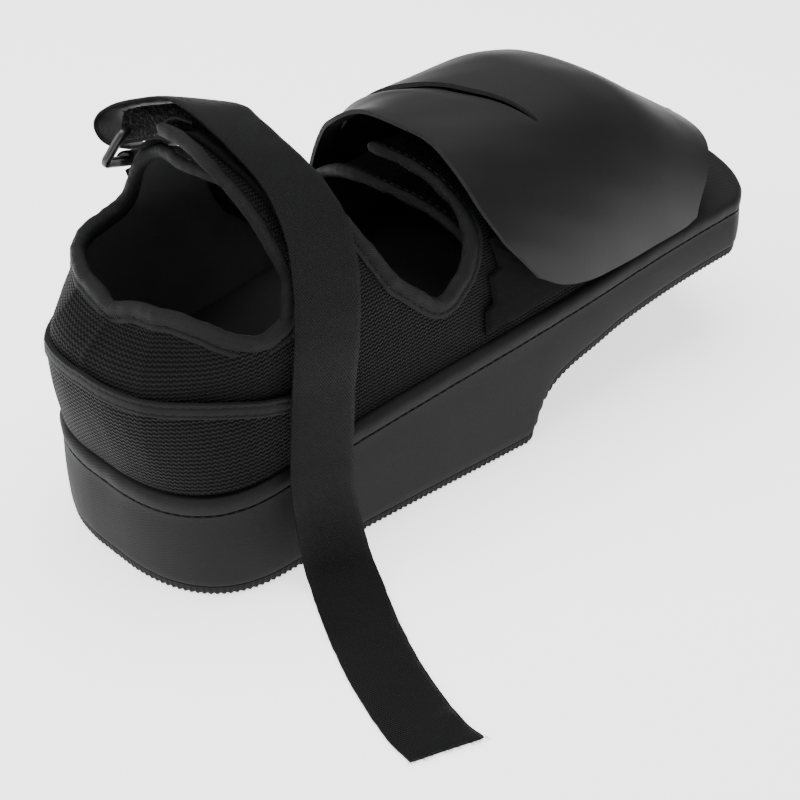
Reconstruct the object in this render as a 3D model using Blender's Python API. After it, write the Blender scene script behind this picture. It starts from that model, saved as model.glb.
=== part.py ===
"""Post operative shoe with a raised forefoot sole, a mesh upper with crossed flaps, a forefoot
cover with a slit and a woven ankle strap. Sizes below are millimetres; X runs from heel to toe,
Y to the wearer's left and Z up from the floor."""
import bpy
import numpy as np

MM = 0.001

# Driving sizes
LENGTH = 285.0
HEEL_WIDTH = 97.0
BALL_WIDTH = 109.0
TOE_WIDTH = 114.0
HEEL_HEIGHT = 37.0
BED_RISE = 0.10
REST_X = 77.0
GAP = 0.3

# Sole layers
TREAD_THICK = 3.4
WELT_THICK = 6.0
INSOLE_THICK = 4.0

# Upper layers
EDGE_INSET = 3.0
WALL = 3.6
OVERLAY_THICK = 1.5
PATCH_THICK = 1.3
BINDING_HEIGHT = 7.0
BINDING_THICK = 5.6
COVER_THICK = 1.8
COVER_STAND = 2.6

# Ankle strap and ring
STRAP_WIDTH = 24.5
STRAP_THICK = 1.6
RING_WIDTH = 34.0
RING_HEIGHT = 15.0
RING_BAR = 3.4
RING_THICK = 2.6

# Underside of the sole, as height above the floor
GROUND = {
    "x": (0, 60, 120, 140, 147, 150, 154, 161, 170, 181, 192, 214, 238, 262, 285),
    "z": (0, 0, 0, 0, 0, 5.5, 14.5, 21.0, 24.6, 27.2, 30.0, 33.4, 36.2, 38.4, 40.2),
}

# Last: stations along the edge of the footbed, from the middle of the heel to the toe.
# crown_x and crown_z place the top of the arch, near and far say how square each side is,
# drop lowers the far flaps under the near ones, bow bends the stations forward at the toe
LAST = {
    "run": (0, 40, 70, 84, 116, 138, 172, 205, 222, 244, 270),
    "crown_x": (40, 40, 39, 37, 64, 92, 137, 172, 195, 234, 272),
    "crown_z": (146, 146, 145, 141, 131, 121, 106, 109, 109, 96, 80),
    "near": (2.8, 2.7, 2.5, 2.15, 2.15, 2.2, 2.5, 2.6, 2.6, 2.5, 2.3),
    "far": (2.8, 2.6, 2.5, 2.6, 2.6, 2.6, 2.6, 2.6, 2.6, 2.5, 2.3),
    "drop": (0, 2, 9, 15, 16, 15, 13, 12, 10, 7, 5.5),
    "bow": (1, 1, 1.2, 1.5, 1.5, 1.6, 2.0, 2.4, 2.5, 2.5, 2.5),
}

# Top edge of the wall around the heel, and of the low band under the instep opening
COLLAR_RIM = {
    "share": (0, 0.16, 0.34, 0.50, 0.60, 0.76, 0.88, 0.95, 1.0),
    "near_z": (89, 93, 93, 90, 86, 82, 84, 89, 97),
    "far_z": (89, 91, 92, 92, 92, 94, 98, 103, 110),
}
INSTEP_RIM = {
    "share": (0, 0.2, 0.4, 0.6, 0.8, 1.0),
    "z": (82, 74, 69, 67, 68, 74),
}

# Edges of the flaps, as runs along the footbed edge against the turn over the foot
# (0 at the footbed, 1 at the crown, 2 at the other side)
FLAP_EDGES = {
    "turn": (0.0, 0.12, 0.2, 0.3, 0.42, 0.55, 0.8, 1.1, 1.6),
    "near_rear": (88, 88, 88, 88, 88, 88, 88, 88, 88),
    "far_rear": (84, 84, 84, 84, 84, 84, 86, 91, 93),
    "ankle_front": (121, 121, 120, 117, 113, 111, 110, 110, 110),
    "fore_rear": (146, 147, 151, 158, 163, 165, 166, 166, 166),
}
TOE_RUN = 266.0
FLAP_ENDS = {"near": {"ankle": 1.07, "fore": 1.24}, "far": {"ankle": 1.22, "fore": 1.22}}


def curve(table, key, at):
    """Smooth curve through a short table, with level ends and no overshoot between rows."""
    xs = np.array(table[list(table)[0]], float)
    ys = np.array(table[key], float)
    step = np.diff(xs)
    slope = np.diff(ys) / step
    tangent = np.zeros(len(xs))
    flat = slope[:-1] * slope[1:] <= 0
    mean = 2 * slope[:-1] * slope[1:] / np.where(flat, 1, slope[:-1] + slope[1:])
    tangent[1:-1] = np.where(flat, 0, mean)
    tangent[0], tangent[-1] = slope[0], slope[-1]
    at = np.clip(at, xs[0], xs[-1])
    i = np.clip(np.searchsorted(xs, at, side="right") - 1, 0, len(step) - 1)
    t = (at - xs[i]) / step[i]
    h = step[i]
    return (ys[i] * (1 + 2 * t) * (1 - t) ** 2 + ys[i + 1] * t * t * (3 - 2 * t)
            + h * tangent[i] * t * (1 - t) ** 2 - h * tangent[i + 1] * t * t * (1 - t))


def ease(t):
    """Smooth step from 0 to 1."""
    t = np.clip(t, 0, 1)
    return t * t * (3 - 2 * t)


def bed(x):
    """Height of the platform's top, which rises from heel to toe."""
    return HEEL_HEIGHT + BED_RISE * x


def ground(x):
    """Height of the sole's underside: a flat rear platform, a step and a raised forefoot."""
    return curve(GROUND, "z", x)


def half_outline(count):
    """Near half of the sole outline from the back of the heel to the toe, as x and half width."""
    heel_run, heel_square = 38.0, 2.6
    toe_run, toe_square = 30.0, 1.75
    ball_x = 190.0
    angle = np.linspace(0.12, np.pi / 2, count)
    heel_x = heel_run * (1 - np.cos(angle) ** (2 / heel_square))
    heel_w = HEEL_WIDTH / 2 * np.sin(angle) ** (2 / heel_square)
    side_x = np.linspace(heel_run, LENGTH - toe_run, 3 * count)[1:-1]
    swell = ease((side_x - heel_run) / (ball_x - heel_run))
    flare = np.clip((side_x - ball_x) / (LENGTH - toe_run - ball_x), 0, 1)
    side_w = HEEL_WIDTH / 2 + (BALL_WIDTH - HEEL_WIDTH) / 2 * swell
    side_w = side_w + (TOE_WIDTH - BALL_WIDTH) / 2 * flare ** 2
    angle = np.linspace(0, np.pi / 2 - 0.12, count)
    toe_x = LENGTH - toe_run + toe_run * np.sin(angle) ** (2 / toe_square)
    toe_w = TOE_WIDTH / 2 * np.cos(angle) ** (2 / toe_square)
    return np.concatenate([heel_x, side_x, toe_x]), np.concatenate([heel_w, side_w, toe_w])


def offset_outline(x, w, inset):
    """Outline moved inward by inset along its own normal."""
    dx, dw = np.gradient(x), np.gradient(w)
    size = np.hypot(dx, dw)
    return x + inset * dw / size, w - inset * dx / size


def make_mesh(name, verts, faces, paint, smooth=True):
    """Closed mesh object from points in millimetres, with the rest spot as its origin."""
    mesh = bpy.data.meshes.new(name)
    verts = (np.asarray(verts, float) - (REST_X, 0, 0)) * MM
    mesh.from_pydata(verts.tolist(), [], [tuple(int(k) for k in f) for f in faces])
    mesh.validate()
    obj = bpy.data.objects.new(name, mesh)
    bpy.context.scene.collection.objects.link(obj)
    obj.data.materials.append(paint)
    for poly in mesh.polygons:
        poly.use_smooth = smooth
    if smooth:
        mesh.set_sharp_from_angle(angle=np.radians(50))
    return obj


def paint(name, colour, roughness, coat=0.0):
    """Principled material with a flat colour."""
    mat = bpy.data.materials.new(name)
    mat.use_nodes = True
    shader = mat.node_tree.nodes["Principled BSDF"]
    shader.inputs["Base Color"].default_value = (*colour, 1)
    shader.inputs["Roughness"].default_value = roughness
    shader.inputs["Metallic"].default_value = 0.0
    shader.inputs["Coat Weight"].default_value = coat
    return mat


def slab(name, levels, paint_of, reach=1.0):
    """Sole layer as a stack of outlines; each level is (inset, height at x), bottom to top."""
    x0, w0 = half_outline(8)
    w0 = np.minimum(w0, np.interp(x0 * reach, x0, w0))
    x0 = x0 * reach
    n = len(x0)
    verts = []
    for inset, height in levels:
        x, w = offset_outline(x0, w0, inset)
        z = height(x)
        near = np.stack([x, -w, z], 1)
        far = np.stack([x, w, z], 1)[::-1]
        verts.append(np.concatenate([near, far]))
    ring = 2 * n
    faces = []
    for k in range(len(levels) - 1):
        for i in range(ring):
            j = (i + 1) % ring
            faces.append((k * ring + i, k * ring + j, (k + 1) * ring + j, (k + 1) * ring + i))
    top = (len(levels) - 1) * ring
    for i in range(n - 1):
        a, b, c, d = i, i + 1, ring - 2 - i, ring - 1 - i
        faces.append((a, d, c, b))
        faces.append((top + a, top + b, top + c, top + d))
    return make_mesh(name, np.concatenate(verts), faces, paint_of)


def sheet(name, outer, inner, cells, paint_of):
    """Solid sheet between two point grids, for the grid cells that are kept."""
    rows, cols = outer.shape[:2]
    index = np.arange(rows * cols).reshape(rows, cols)
    shift = rows * cols
    faces = []
    kept = np.zeros((rows + 1, cols + 1), bool)
    kept[1:rows, 1:cols] = cells
    for i in range(rows - 1):
        for j in range(cols - 1):
            if not cells[i, j]:
                continue
            a, b = index[i, j], index[i + 1, j]
            c, d = index[i + 1, j + 1], index[i, j + 1]
            faces.append((a, d, c, b))
            faces.append((a + shift, b + shift, c + shift, d + shift))
            for missing, p, q in ((not kept[i + 1, j], a, b), (not kept[i + 2, j + 1], b, c),
                                  (not kept[i + 1, j + 2], c, d), (not kept[i, j + 1], d, a)):
                if missing:
                    faces.append((p, q, q + shift, p + shift))
    used = np.unique(np.array(faces).ravel())
    remap = np.full(2 * shift, -1)
    remap[used] = np.arange(len(used))
    verts = np.concatenate([outer.reshape(-1, 3), inner.reshape(-1, 3)])[used]
    return make_mesh(name, verts, [tuple(remap[list(f)]) for f in faces], paint_of)


EDGE_X, EDGE_W = offset_outline(*half_outline(60), EDGE_INSET)
EDGE_RUN = np.concatenate([[EDGE_W[0]], EDGE_W[0] + np.cumsum(np.hypot(np.diff(EDGE_X),
                                                                       np.diff(EDGE_W)))])


def last_point(run, turn, side):
    """Point of the last: run along the footbed edge, turn over the foot, side -1 near, 1 far."""
    start = np.clip(run / EDGE_W[0], 0, 1)
    base_x = np.where(run < EDGE_W[0], EDGE_X[0], np.interp(run, EDGE_RUN, EDGE_X))
    base_w = np.where(run < EDGE_W[0], EDGE_W[0] * start, np.interp(run, EDGE_RUN, EDGE_W))
    crown_x = curve(LAST, "crown_x", run)
    far = (1 + side) / 2
    square = curve(LAST, "near", run) * (1 - far) + curve(LAST, "far", run) * far
    base_z = bed(base_x) + GAP
    crown_z = curve(LAST, "crown_z", run) - far * curve(LAST, "drop", run)
    angle = np.clip(turn, 0, 2) * np.pi / 2
    cos, sin = np.cos(angle), np.abs(np.sin(angle))
    across = np.abs(cos) ** (2 / square)
    rise = sin ** (2 / square)
    x = crown_x + (base_x - crown_x) * across ** curve(LAST, "bow", run)
    y = side * base_w * across * np.sign(cos)
    z = base_z + (crown_z - base_z) * rise
    heel = 1 - ease((run - 25) / 60)
    reach = np.maximum(np.hypot(base_x - 40, base_w), 1)
    round_reach = 1 / np.hypot((base_x - 40) / reach / HEEL_ROUND[0], base_w / reach / HEEL_ROUND[1])
    pull = heel * ease(rise / 0.3) * np.minimum(round_reach / reach - 1, 0) * (cos > 0)
    bulge = HEEL_BULGE * (1 - ease(run / 60)) * np.sin(np.pi * np.clip(rise / 0.62, 0, 1))
    x = x + (base_x - 40) * (pull + bulge / reach)
    y = y + side * base_w * (pull + bulge * (cos > 0) / reach)
    return np.stack([x, y, z], -1)


def last_normal(run, turn, side):
    """Outward unit normal of the last."""
    d_run, d_turn = 1.2, 0.02
    low_turn = np.maximum(turn - d_turn, 0.012)
    low_run = run - d_run
    swap = low_run < 0
    back = np.where(swap[..., None], last_point(np.abs(low_run), turn, -side),
                    last_point(np.abs(low_run), turn, side))
    along = last_point(run + d_run, turn, side) - back
    up = last_point(run, np.maximum(turn, 0.03) + d_turn, side) - last_point(run, low_turn, side)
    n = np.cross(along, up) * -np.asarray(side)[..., None]
    return n / np.linalg.norm(n, axis=-1, keepdims=True)


def last(run, turn, side, lift=0.0):
    """Point at a height above the last's surface; below zero is inside it."""
    run, turn, side = np.broadcast_arrays(np.asarray(run, float), turn, side)
    lift = np.broadcast_to(lift, run.shape)
    return last_point(run, turn, side) + lift[..., None] * last_normal(run, turn, side)


def turn_at(run, z, side):
    """Turn at which the last reaches a height."""
    far = (1 + side) / 2
    square = curve(LAST, "near", run) * (1 - far) + curve(LAST, "far", run) * far
    base_z = bed(np.interp(run, EDGE_RUN, EDGE_X)) + GAP
    crown_z = curve(LAST, "crown_z", run) - far * curve(LAST, "drop", run)
    share = np.clip((z - base_z) / (crown_z - base_z), 0, 1)
    return np.arcsin(share ** (square / 2)) * 2 / np.pi


# Forefoot cover: crown height over the foot, and the edges of the sheet against its turn
COVER_CROWN = {
    "x": (95, 112, 130, 160, 190, 212, 240, 267, 285),
    "z": (121, 122, 120.5, 119.5, 119.5, 115.5, 99.5, 83, 74),
}
COVER_EDGES = {
    "turn": (0.0, 0.1, 0.2, 0.3, 0.5, 0.8, 1.0, 1.2, 1.5, 2.0),
    "rear": (156, 149, 141, 134, 128, 125, 119, 113, 113, 116),
    "slit": (164, 163, 162, 160, 157, 150.5, 144, 136, 130, 126),
    "toe": (231, 233, 237, 241, 249, 257, 260, 258, 250, 232),
}
COVER_HEM = {
    "share": (0, 0.08, 0.2, 0.4, 0.8, 0.93, 1.0),
    "lift": (16, 10, 6.5, 4.0, 2.0, 2.0, 4.0),
}
SLIT_TURN = (0.78, 1.72)
SLIT_WIDTH = 1.1

# Ankle strap: how it lies over the ankle flap, as runs and lifts of its two edges
STRAP_ON_FLAP = {
    "turn": (0.10, 0.22, 0.36, 0.50, 0.65, 0.80, 0.92, 1.02),
    "rear_run": (69, 73.5, 80, 87.5, 92, 93, 93, 93),
    "front_run": (91, 96, 104, 111.5, 116, 117, 117, 117),
    "rear_lift": (4.6, 4.2, 3.6, 3.2, 3.4, 4.5, 7.0, 9.2),
    "front_lift": (8.0, 8.5, 7.5, 6.5, 5.0, 5.5, 8.0, 10.0),
}
# Its tail, from the cut end on the floor up to the sole's edge, as the middle of the strap
STRAP_TAIL = {
    "step": (0, 1, 2, 3, 4, 5, 6, 7, 8),
    "x": (17.8, 19.0, 25.5, 33.2, 40.0, 44.5, 46.0, 46.0, 45.5),
    "y": (-139.2, -128, -107, -89, -75.5, -66.5, -61.0, -57.5, -55.8),
    "z": (0.9, 0.9, 0.9, 0.9, 1.1, 2.6, 8.5, 22.0, 38.0),
    "swing": (-20, -24, -30, -32.5, -31, -27, -22, -16, -12),
    "tip": (0, 0, 0, 0, 0, 0, -6, -12, -16),
}
# Its top, from the crown round the loose fold and back through the ring to the flap's end
STRAP_TOP = {
    "step": (0, 1, 2, 3, 4, 5, 6, 7, 8, 9),
    "x": (44, 42, 40, 38.6, 38.2, 38.4, 39.2, 41, 43, 43.5),
    "y": (12, 24, 33.5, 40.3, 42.8, 40, 33.5, 21, 8, -3),
    "z": (147.0, 143.2, 139.2, 134.4, 129.4, 125.6, 125.2, 129.0, 141.2, 143.2),
    "swing": (6, 16, 24, 29, 30, 30, 30, 22, 10, 2),
}
STRAP_SLOPE = -22.0
RING_SWING = 30.0

HEEL_ROUND = (40.0, 46.0)
HEEL_BULGE = 6.0
LOW_ROWS = 5
HIGH_ROWS = 8


def half_grid(side_name):
    """Runs, turns and kept cells of one side of the upper, from the heel's middle to the toe."""
    side = -1.0 if side_name == "near" else 1.0
    rear = curve(FLAP_EDGES, side_name + "_rear", 0.0)
    ends = FLAP_ENDS[side_name]
    shares = {"heel": np.array([0, .1, .2, .3, .4, .48, .56, .64, .72, .79, .85, .9, .94, .97, 1]),
              "ankle": np.linspace(0, 1, 7), "instep": np.linspace(0, 1, 7),
              "fore": np.linspace(0, 1, 11)}
    runs, turns, cells = [], [], []
    rows = LOW_ROWS + HIGH_ROWS
    for zone, share in shares.items():
        if zone != "heel":
            share = share[1:]
        for s in share:
            edge = {"ankle": (rear, 121), "instep": (121, 150), "fore": (150, TOE_RUN)}
            nominal = s * rear if zone == "heel" else np.interp(s, (0, 1), edge[zone])
            if zone == "heel":
                rim = curve(COLLAR_RIM, side_name + "_z", s)
            elif zone == "ankle":
                rim = np.interp(s, (0, 1), (COLLAR_RIM[side_name + "_z"][-1], INSTEP_RIM["z"][0]))
            elif zone == "instep":
                rim = curve(INSTEP_RIM, "z", s)
            else:
                rim = np.interp(s, (0, 1), (INSTEP_RIM["z"][-1], 66))
            low = float(turn_at(nominal, rim, side))
            end = ends["fore"] if zone == "fore" or (zone == "instep" and s > 0.5) else ends["ankle"]
            turn = np.concatenate([np.linspace(0, low, LOW_ROWS + 1),
                                   np.linspace(low, end, HIGH_ROWS + 1)[1:]])
            front = curve(FLAP_EDGES, "ankle_front", turn)
            fore = curve(FLAP_EDGES, "fore_rear", turn)
            back = curve(FLAP_EDGES, side_name + "_rear", turn)
            if zone == "heel":
                run = np.full(rows + 1, nominal) + s ** 4 * (back - rear)
            elif zone == "ankle":
                run = back + (front - back) * s
            elif zone == "instep":
                run = front + (fore - front) * s
            else:
                run = fore + (TOE_RUN - fore) * s
            runs.append(run)
            turns.append(turn)
            cells.append(zone in ("ankle", "fore"))
    return np.array(runs), np.array(turns), np.array(cells[1:])


def upper_grid():
    """The whole wall as one grid that runs from the near toe round the heel to the far toe."""
    near_run, near_turn, near_flap = half_grid("near")
    far_run, far_turn, far_flap = half_grid("far")
    run = np.concatenate([near_run[::-1], far_run[1:]])
    turn = np.concatenate([near_turn[::-1], far_turn[1:]])
    side = np.concatenate([-np.ones(near_run.shape), np.ones((len(far_run) - 1, far_run.shape[1]))])
    flap = np.concatenate([near_flap[::-1], far_flap])
    cells = np.zeros((len(run) - 1, run.shape[1] - 1), bool)
    cells[:, :LOW_ROWS] = True
    cells[flap, LOW_ROWS:] = True
    return run, turn, side, cells


def bead(name, path, normal, height, thick, paint_of, sides=8):
    """Rounded binding that caps an edge; the path is the edge, the normal points off the wall."""
    along = np.gradient(path, axis=0)
    along /= np.linalg.norm(along, axis=1, keepdims=True)
    out = np.cross(along, normal)
    out /= np.linalg.norm(out, axis=1, keepdims=True)
    normal = np.cross(out, along)
    angle = np.linspace(0, 2 * np.pi, sides, endpoint=False) + np.pi / sides
    c, s = np.cos(angle), np.sin(angle)
    c = np.sign(c) * np.abs(c) ** 0.75 * height / 2
    s = np.sign(s) * np.abs(s) ** 0.75 * thick / 2
    centre = path + out * (GAP + 0.15 + height / 2) - normal * WALL / 2
    rings = centre[:, None] + out[:, None] * c[None, :, None] + normal[:, None] * s[None, :, None]
    n = len(path)
    faces = [tuple(range(sides)), tuple(range((n - 1) * sides, n * sides))[::-1]]
    for i in range(n - 1):
        for k in range(sides):
            q = (k + 1) % sides
            faces.append((i * sides + k, (i + 1) * sides + k, (i + 1) * sides + q, i * sides + q))
    return make_mesh(name, rings.reshape(-1, 3), faces, paint_of)


def resample(points, count):
    """Even stations along a polyline."""
    run = np.concatenate([[0], np.cumsum(np.linalg.norm(np.diff(points, axis=0), axis=1))])
    at = np.linspace(0, run[-1], count)
    return np.stack([np.interp(at, run, points[:, k]) for k in range(points.shape[1])], 1)


def edge_path(nodes, count):
    """Edge of the wall through (run, turn, side) nodes, as points and wall normals."""
    nodes = np.array(nodes)
    points = last(nodes[:, 0], nodes[:, 1], nodes[:, 2])
    normal = last_normal(nodes[:, 0], nodes[:, 1], nodes[:, 2])
    both = resample(np.concatenate([points, normal], 1), count)
    return both[:, :3], both[:, 3:] / np.linalg.norm(both[:, 3:], axis=1, keepdims=True)


def clear_scene():
    """Start from an empty scene."""
    for obj in list(bpy.data.objects):
        bpy.data.objects.remove(obj, do_unlink=True)


clear_scene()

rubber = paint("tread_rubber", (0.018, 0.018, 0.019), 0.75)
foam = paint("sidewall_foam", (0.040, 0.040, 0.042), 0.70)
wrap = paint("welt_wrap", (0.034, 0.034, 0.036), 0.65)
lining = paint("insole_cloth", (0.020, 0.020, 0.021), 0.85)
mesh_cloth = paint("upper_mesh", (0.016, 0.016, 0.017), 0.80)
twill = paint("binding_twill", (0.030, 0.030, 0.032), 0.60)
velvet = paint("loop_pile", (0.008, 0.008, 0.009), 0.95)
satin = paint("cover_sheet", (0.022, 0.022, 0.024), 0.50)
webbing = paint("strap_webbing", (0.024, 0.024, 0.026), 0.65)
plastic = paint("ring_plastic", (0.015, 0.015, 0.016), 0.40)

# Sole: rubber tread, foam midsole and the wrapped welt board with its rounded lip
slab("outsole_tread", [(1.6, ground), (1.0, lambda x: ground(x) + 0.8),
                       (1.0, lambda x: ground(x) + TREAD_THICK)], rubber)
slab("midsole", [(1.0, lambda x: ground(x) + TREAD_THICK + GAP),
                 (0.4, lambda x: (ground(x) + bed(x)) / 2),
                 (0.4, lambda x: bed(x) - WELT_THICK - 1.6),
                 (1.4, lambda x: bed(x) - WELT_THICK - GAP)], foam)
slab("welt", [(1.6, lambda x: bed(x) - WELT_THICK), (0.3, lambda x: bed(x) - 0.75 * WELT_THICK),
              (0.0, lambda x: bed(x) - 0.45 * WELT_THICK), (0.5, lambda x: bed(x) - 0.16 * WELT_THICK),
              (2.0, bed)], wrap)
INSOLE_INSET = EDGE_INSET + WALL + 1.6
INSOLE_REACH = 0.88
slab("insole", [(INSOLE_INSET, lambda x: bed(x) + GAP),
                (INSOLE_INSET, lambda x: bed(x) + GAP + 0.75 * INSOLE_THICK),
                (INSOLE_INSET + 1.2, lambda x: bed(x) + GAP + INSOLE_THICK)], lining, INSOLE_REACH)

# Upper: one padded wall with an ankle flap and a forefoot flap on each side
RUN, TURN, SIDE, CELLS = upper_grid()
OUTER = last(RUN, TURN, SIDE)
INNER = last(RUN, TURN, SIDE, -WALL)
INNER[:, 0, 2] = bed(INNER[:, 0, 0]) + GAP
sheet("upper", OUTER, INNER, CELLS, mesh_cloth)

# Heel counter: an overlay round the heel, thicker along its taped top edge
COUNTER_TOP = {
    "share": (0, 0.3, 0.55, 0.8, 1.0),
    "z": (74, 72.5, 71, 66, 62),
}
COUNTER_END = 84.0
share = np.linspace(-1, 1, 27)
counter_run = np.abs(share)[:, None] * COUNTER_END
counter_side = np.where(share <= 0, -1.0, 1.0)[:, None]
top_turn = turn_at(counter_run, curve(COUNTER_TOP, "z", np.abs(share))[:, None], counter_side)
level = np.array([0.012, 0.25, 0.5, 0.72, 0.84, 0.87, 0.93, 1.0])
thick = np.array([1.0, 1.0, 1.0, 1.0, 1.0, 1.9, 2.1, 1.6]) * OVERLAY_THICK
grid = (counter_run + 0 * level, top_turn * level, counter_side + 0 * level)
counter_in = last(*grid, GAP)
counter_out = last(*grid, GAP + thick[None, :] + 0 * counter_run)
counter_out[:, 0, 2] = counter_in[:, 0, 2]
sheet("heel_counter", counter_out, counter_in, np.ones((26, 7), bool), mesh_cloth)

# Bindings: collar, both sides of the instep opening and the toe edge
columns = {name: half_grid(name) for name in ("near", "far")}
HEEL_COLS, FLAP_COLS, OPEN_COLS = 15, 6, 6


def flap_edge(name, column, upward=True):
    """Nodes up the edge of a flap, from the low band to the flap's end."""
    side = -1.0 if name == "near" else 1.0
    run, turn, _ = columns[name]
    nodes = [(run[column, j], turn[column, j], side) for j in range(LOW_ROWS, LOW_ROWS + HIGH_ROWS + 1)]
    return nodes if upward else nodes[::-1]


def low_edge(name, first, last_column):
    """Nodes along the top of the low band, between two columns."""
    side = -1.0 if name == "near" else 1.0
    run, turn, _ = columns[name]
    step = 1 if last_column >= first else -1
    return [(run[i, LOW_ROWS], turn[i, LOW_ROWS], side) for i in range(first, last_column + step, step)]


rear_col = HEEL_COLS - 1
front_col = rear_col + FLAP_COLS
fore_col = front_col + OPEN_COLS
collar = (flap_edge("near", rear_col, False) + low_edge("near", rear_col - 1, 0)
          + low_edge("far", 1, rear_col) + flap_edge("far", rear_col)[1:])
path, normal = edge_path(collar, 66)
bead("collar_binding", path, normal, BINDING_HEIGHT, BINDING_THICK, twill)
for name in ("near", "far"):
    rim = (flap_edge(name, fore_col, False) + low_edge(name, fore_col - 1, front_col)
           + flap_edge(name, front_col)[1:])
    if name == "far":
        rim = rim[::-1]
    path, normal = edge_path(rim, 44)
    bead("instep_binding_" + ("right" if name == "near" else "left"), path, normal,
         BINDING_HEIGHT, BINDING_THICK, twill)
toe_low = columns["near"][0].shape[0] - 1


def toe_edge(name):
    """Nodes along the toe edge of a side, from just above the platform to the flap's end."""
    side = -1.0 if name == "near" else 1.0
    run, turn, _ = columns[name]
    reach = np.linspace(0.24, turn[toe_low, -1], 26)
    return [(TOE_RUN, t, side) for t in reach]


for name in ("near", "far"):
    nodes = toe_edge(name) if name == "far" else toe_edge(name)[::-1]
    path, normal = edge_path(nodes[::-1], 18)
    bead("toe_binding_" + ("right" if name == "near" else "left"), path, normal,
         BINDING_HEIGHT - 1.5, BINDING_THICK - 1.0, twill)

# Loop patches on the right ankle flap and on the right forefoot flap
PATCH_REAR = {
    "turn": (0.03, 0.10, 0.12, 0.22, 0.24, 0.31, 0.37, 0.39, 0.46, 0.54, 0.62),
    "run": (154, 154, 158, 158, 163, 163, 163, 167, 170, 171, 172),
}


def patch(name, run, turn):
    """Thin pile patch on the near side of the upper."""
    inner = last(run, turn, -1.0, 1.5 * GAP)
    outer = last(run, turn, -1.0, 1.5 * GAP + PATCH_THICK)
    shape = (run.shape[0] - 1, run.shape[1] - 1)
    sheet(name, outer[::-1], inner[::-1], np.ones(shape, bool), velvet)


turn = np.linspace(0.44, 0.92, 13)[None, :] + np.zeros((5, 1))
run = np.linspace(0, 1, 5)[:, None]
patch("ankle_loop_patch", 88 + run * (curve(FLAP_EDGES, "ankle_front", turn) - 2 - 88), turn)
turn = np.array(PATCH_REAR["turn"])[None, :] + np.zeros((6, 1))
rear = np.array(PATCH_REAR["run"], float)[None, :]
patch("forefoot_loop_patch", rear + np.linspace(0, 1, 6)[:, None] * (197 - rear), turn)


def cover_point(x, turn, lift):
    """Point of the cover's outer face lifted by lift, over the foot at station x."""
    square = 2.45
    angle = np.clip(turn, 0, 2) * np.pi / 2
    base_w = np.interp(x, EDGE_X, EDGE_W) + COVER_STAND + COVER_THICK
    top = curve(COVER_CROWN, "z", x)
    low = bed(x)
    across = np.sign(np.cos(angle)) * np.abs(np.cos(angle)) ** (2 / square)
    rise = np.abs(np.sin(angle)) ** (2 / square)
    return np.stack([x, -across * (base_w + lift), low + rise * (top - low + lift)], -1)


def cover_grid(lift, shares, rows):
    """Grid of the cover: shares run from the rear edge to the toe edge, rows over the foot."""
    grid = []
    for s in shares:
        hem = curve(COVER_HEM, "lift", s)
        height = (hem / 62.0) ** (2.45 / 2)
        first = np.arcsin(height) * 2 / np.pi
        turn = first + (1.965 - first) * rows
        rear = curve(COVER_EDGES, "rear", turn)
        slit = curve(COVER_EDGES, "slit", turn)
        toe = curve(COVER_EDGES, "toe", turn)
        inside = np.clip((turn - SLIT_TURN[0]) / (SLIT_TURN[1] - SLIT_TURN[0]), 0, 1)
        half = SLIT_WIDTH / 2 * (0.35 + 0.65 * np.sin(np.pi * inside))
        low, high = slit - half, slit + half
        x = np.where(s <= 0.4, rear + (low - rear) * s / 0.4, high + (toe - high) * (s - 0.42) / 0.58)
        grid.append(cover_point(x, turn, lift))
    return np.array(grid)


shares = np.concatenate([np.linspace(0, 0.4, 7), np.linspace(0.42, 1, 9)])
rows = np.linspace(0, 1, 25)
first_row, last_row = 9, 22
cells = np.ones((len(shares) - 1, len(rows) - 1), bool)
cells[6, first_row:last_row] = False
cover_out = cover_grid(0.0, shares, rows)
cover_in = cover_grid(-COVER_THICK, shares, rows)
sheet("forefoot_cover", cover_out[::-1], cover_in[::-1], cells, satin)


def ribbon(name, middle, width_dir, width, thick, paint_of):
    """Flat strip swept along a path, with its width along a given direction at each station."""
    along = np.gradient(middle, axis=0)
    along /= np.linalg.norm(along, axis=1, keepdims=True)
    side = width_dir / np.linalg.norm(width_dir, axis=1, keepdims=True)
    face = np.cross(along, side)
    face /= np.linalg.norm(face, axis=1, keepdims=True)
    corners = ((-1, -1), (1, -1), (1, 1), (-1, 1))
    rings = np.stack([middle + side * a * width / 2 + face * b * thick / 2 for a, b in corners], 1)
    n = len(middle)
    faces = [(3, 2, 1, 0), tuple((n - 1) * 4 + k for k in range(4))]
    for i in range(n - 1):
        for k in range(4):
            q = (k + 1) % 4
            faces.append((i * 4 + k, i * 4 + q, (i + 1) * 4 + q, (i + 1) * 4 + k))
    return make_mesh(name, rings.reshape(-1, 3), faces, paint_of)


def spline(points, per_span):
    """Smooth path through points, with per_span steps between each pair."""
    padded = np.concatenate([[2 * points[0] - points[1]], points, [2 * points[-1] - points[-2]]])
    out = []
    for i in range(1, len(padded) - 2):
        a, b, c, d = padded[i - 1], padded[i], padded[i + 1], padded[i + 2]
        for t in np.linspace(0, 1, per_span, endpoint=False):
            out.append(0.5 * (2 * b + (c - a) * t + (2 * a - 5 * b + 4 * c - d) * t ** 2
                              + (3 * b - a - 3 * c + d) * t ** 3))
    out.append(points[-1])
    return np.array(out)


def heading(swing, tip):
    """Direction of the strap's width: swing turns it in plan, tip tilts it down."""
    swing, tip = np.radians(swing), np.radians(tip)
    return np.stack([np.cos(swing) * np.cos(tip), np.sin(swing) * np.cos(tip), np.sin(tip)], -1)


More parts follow.
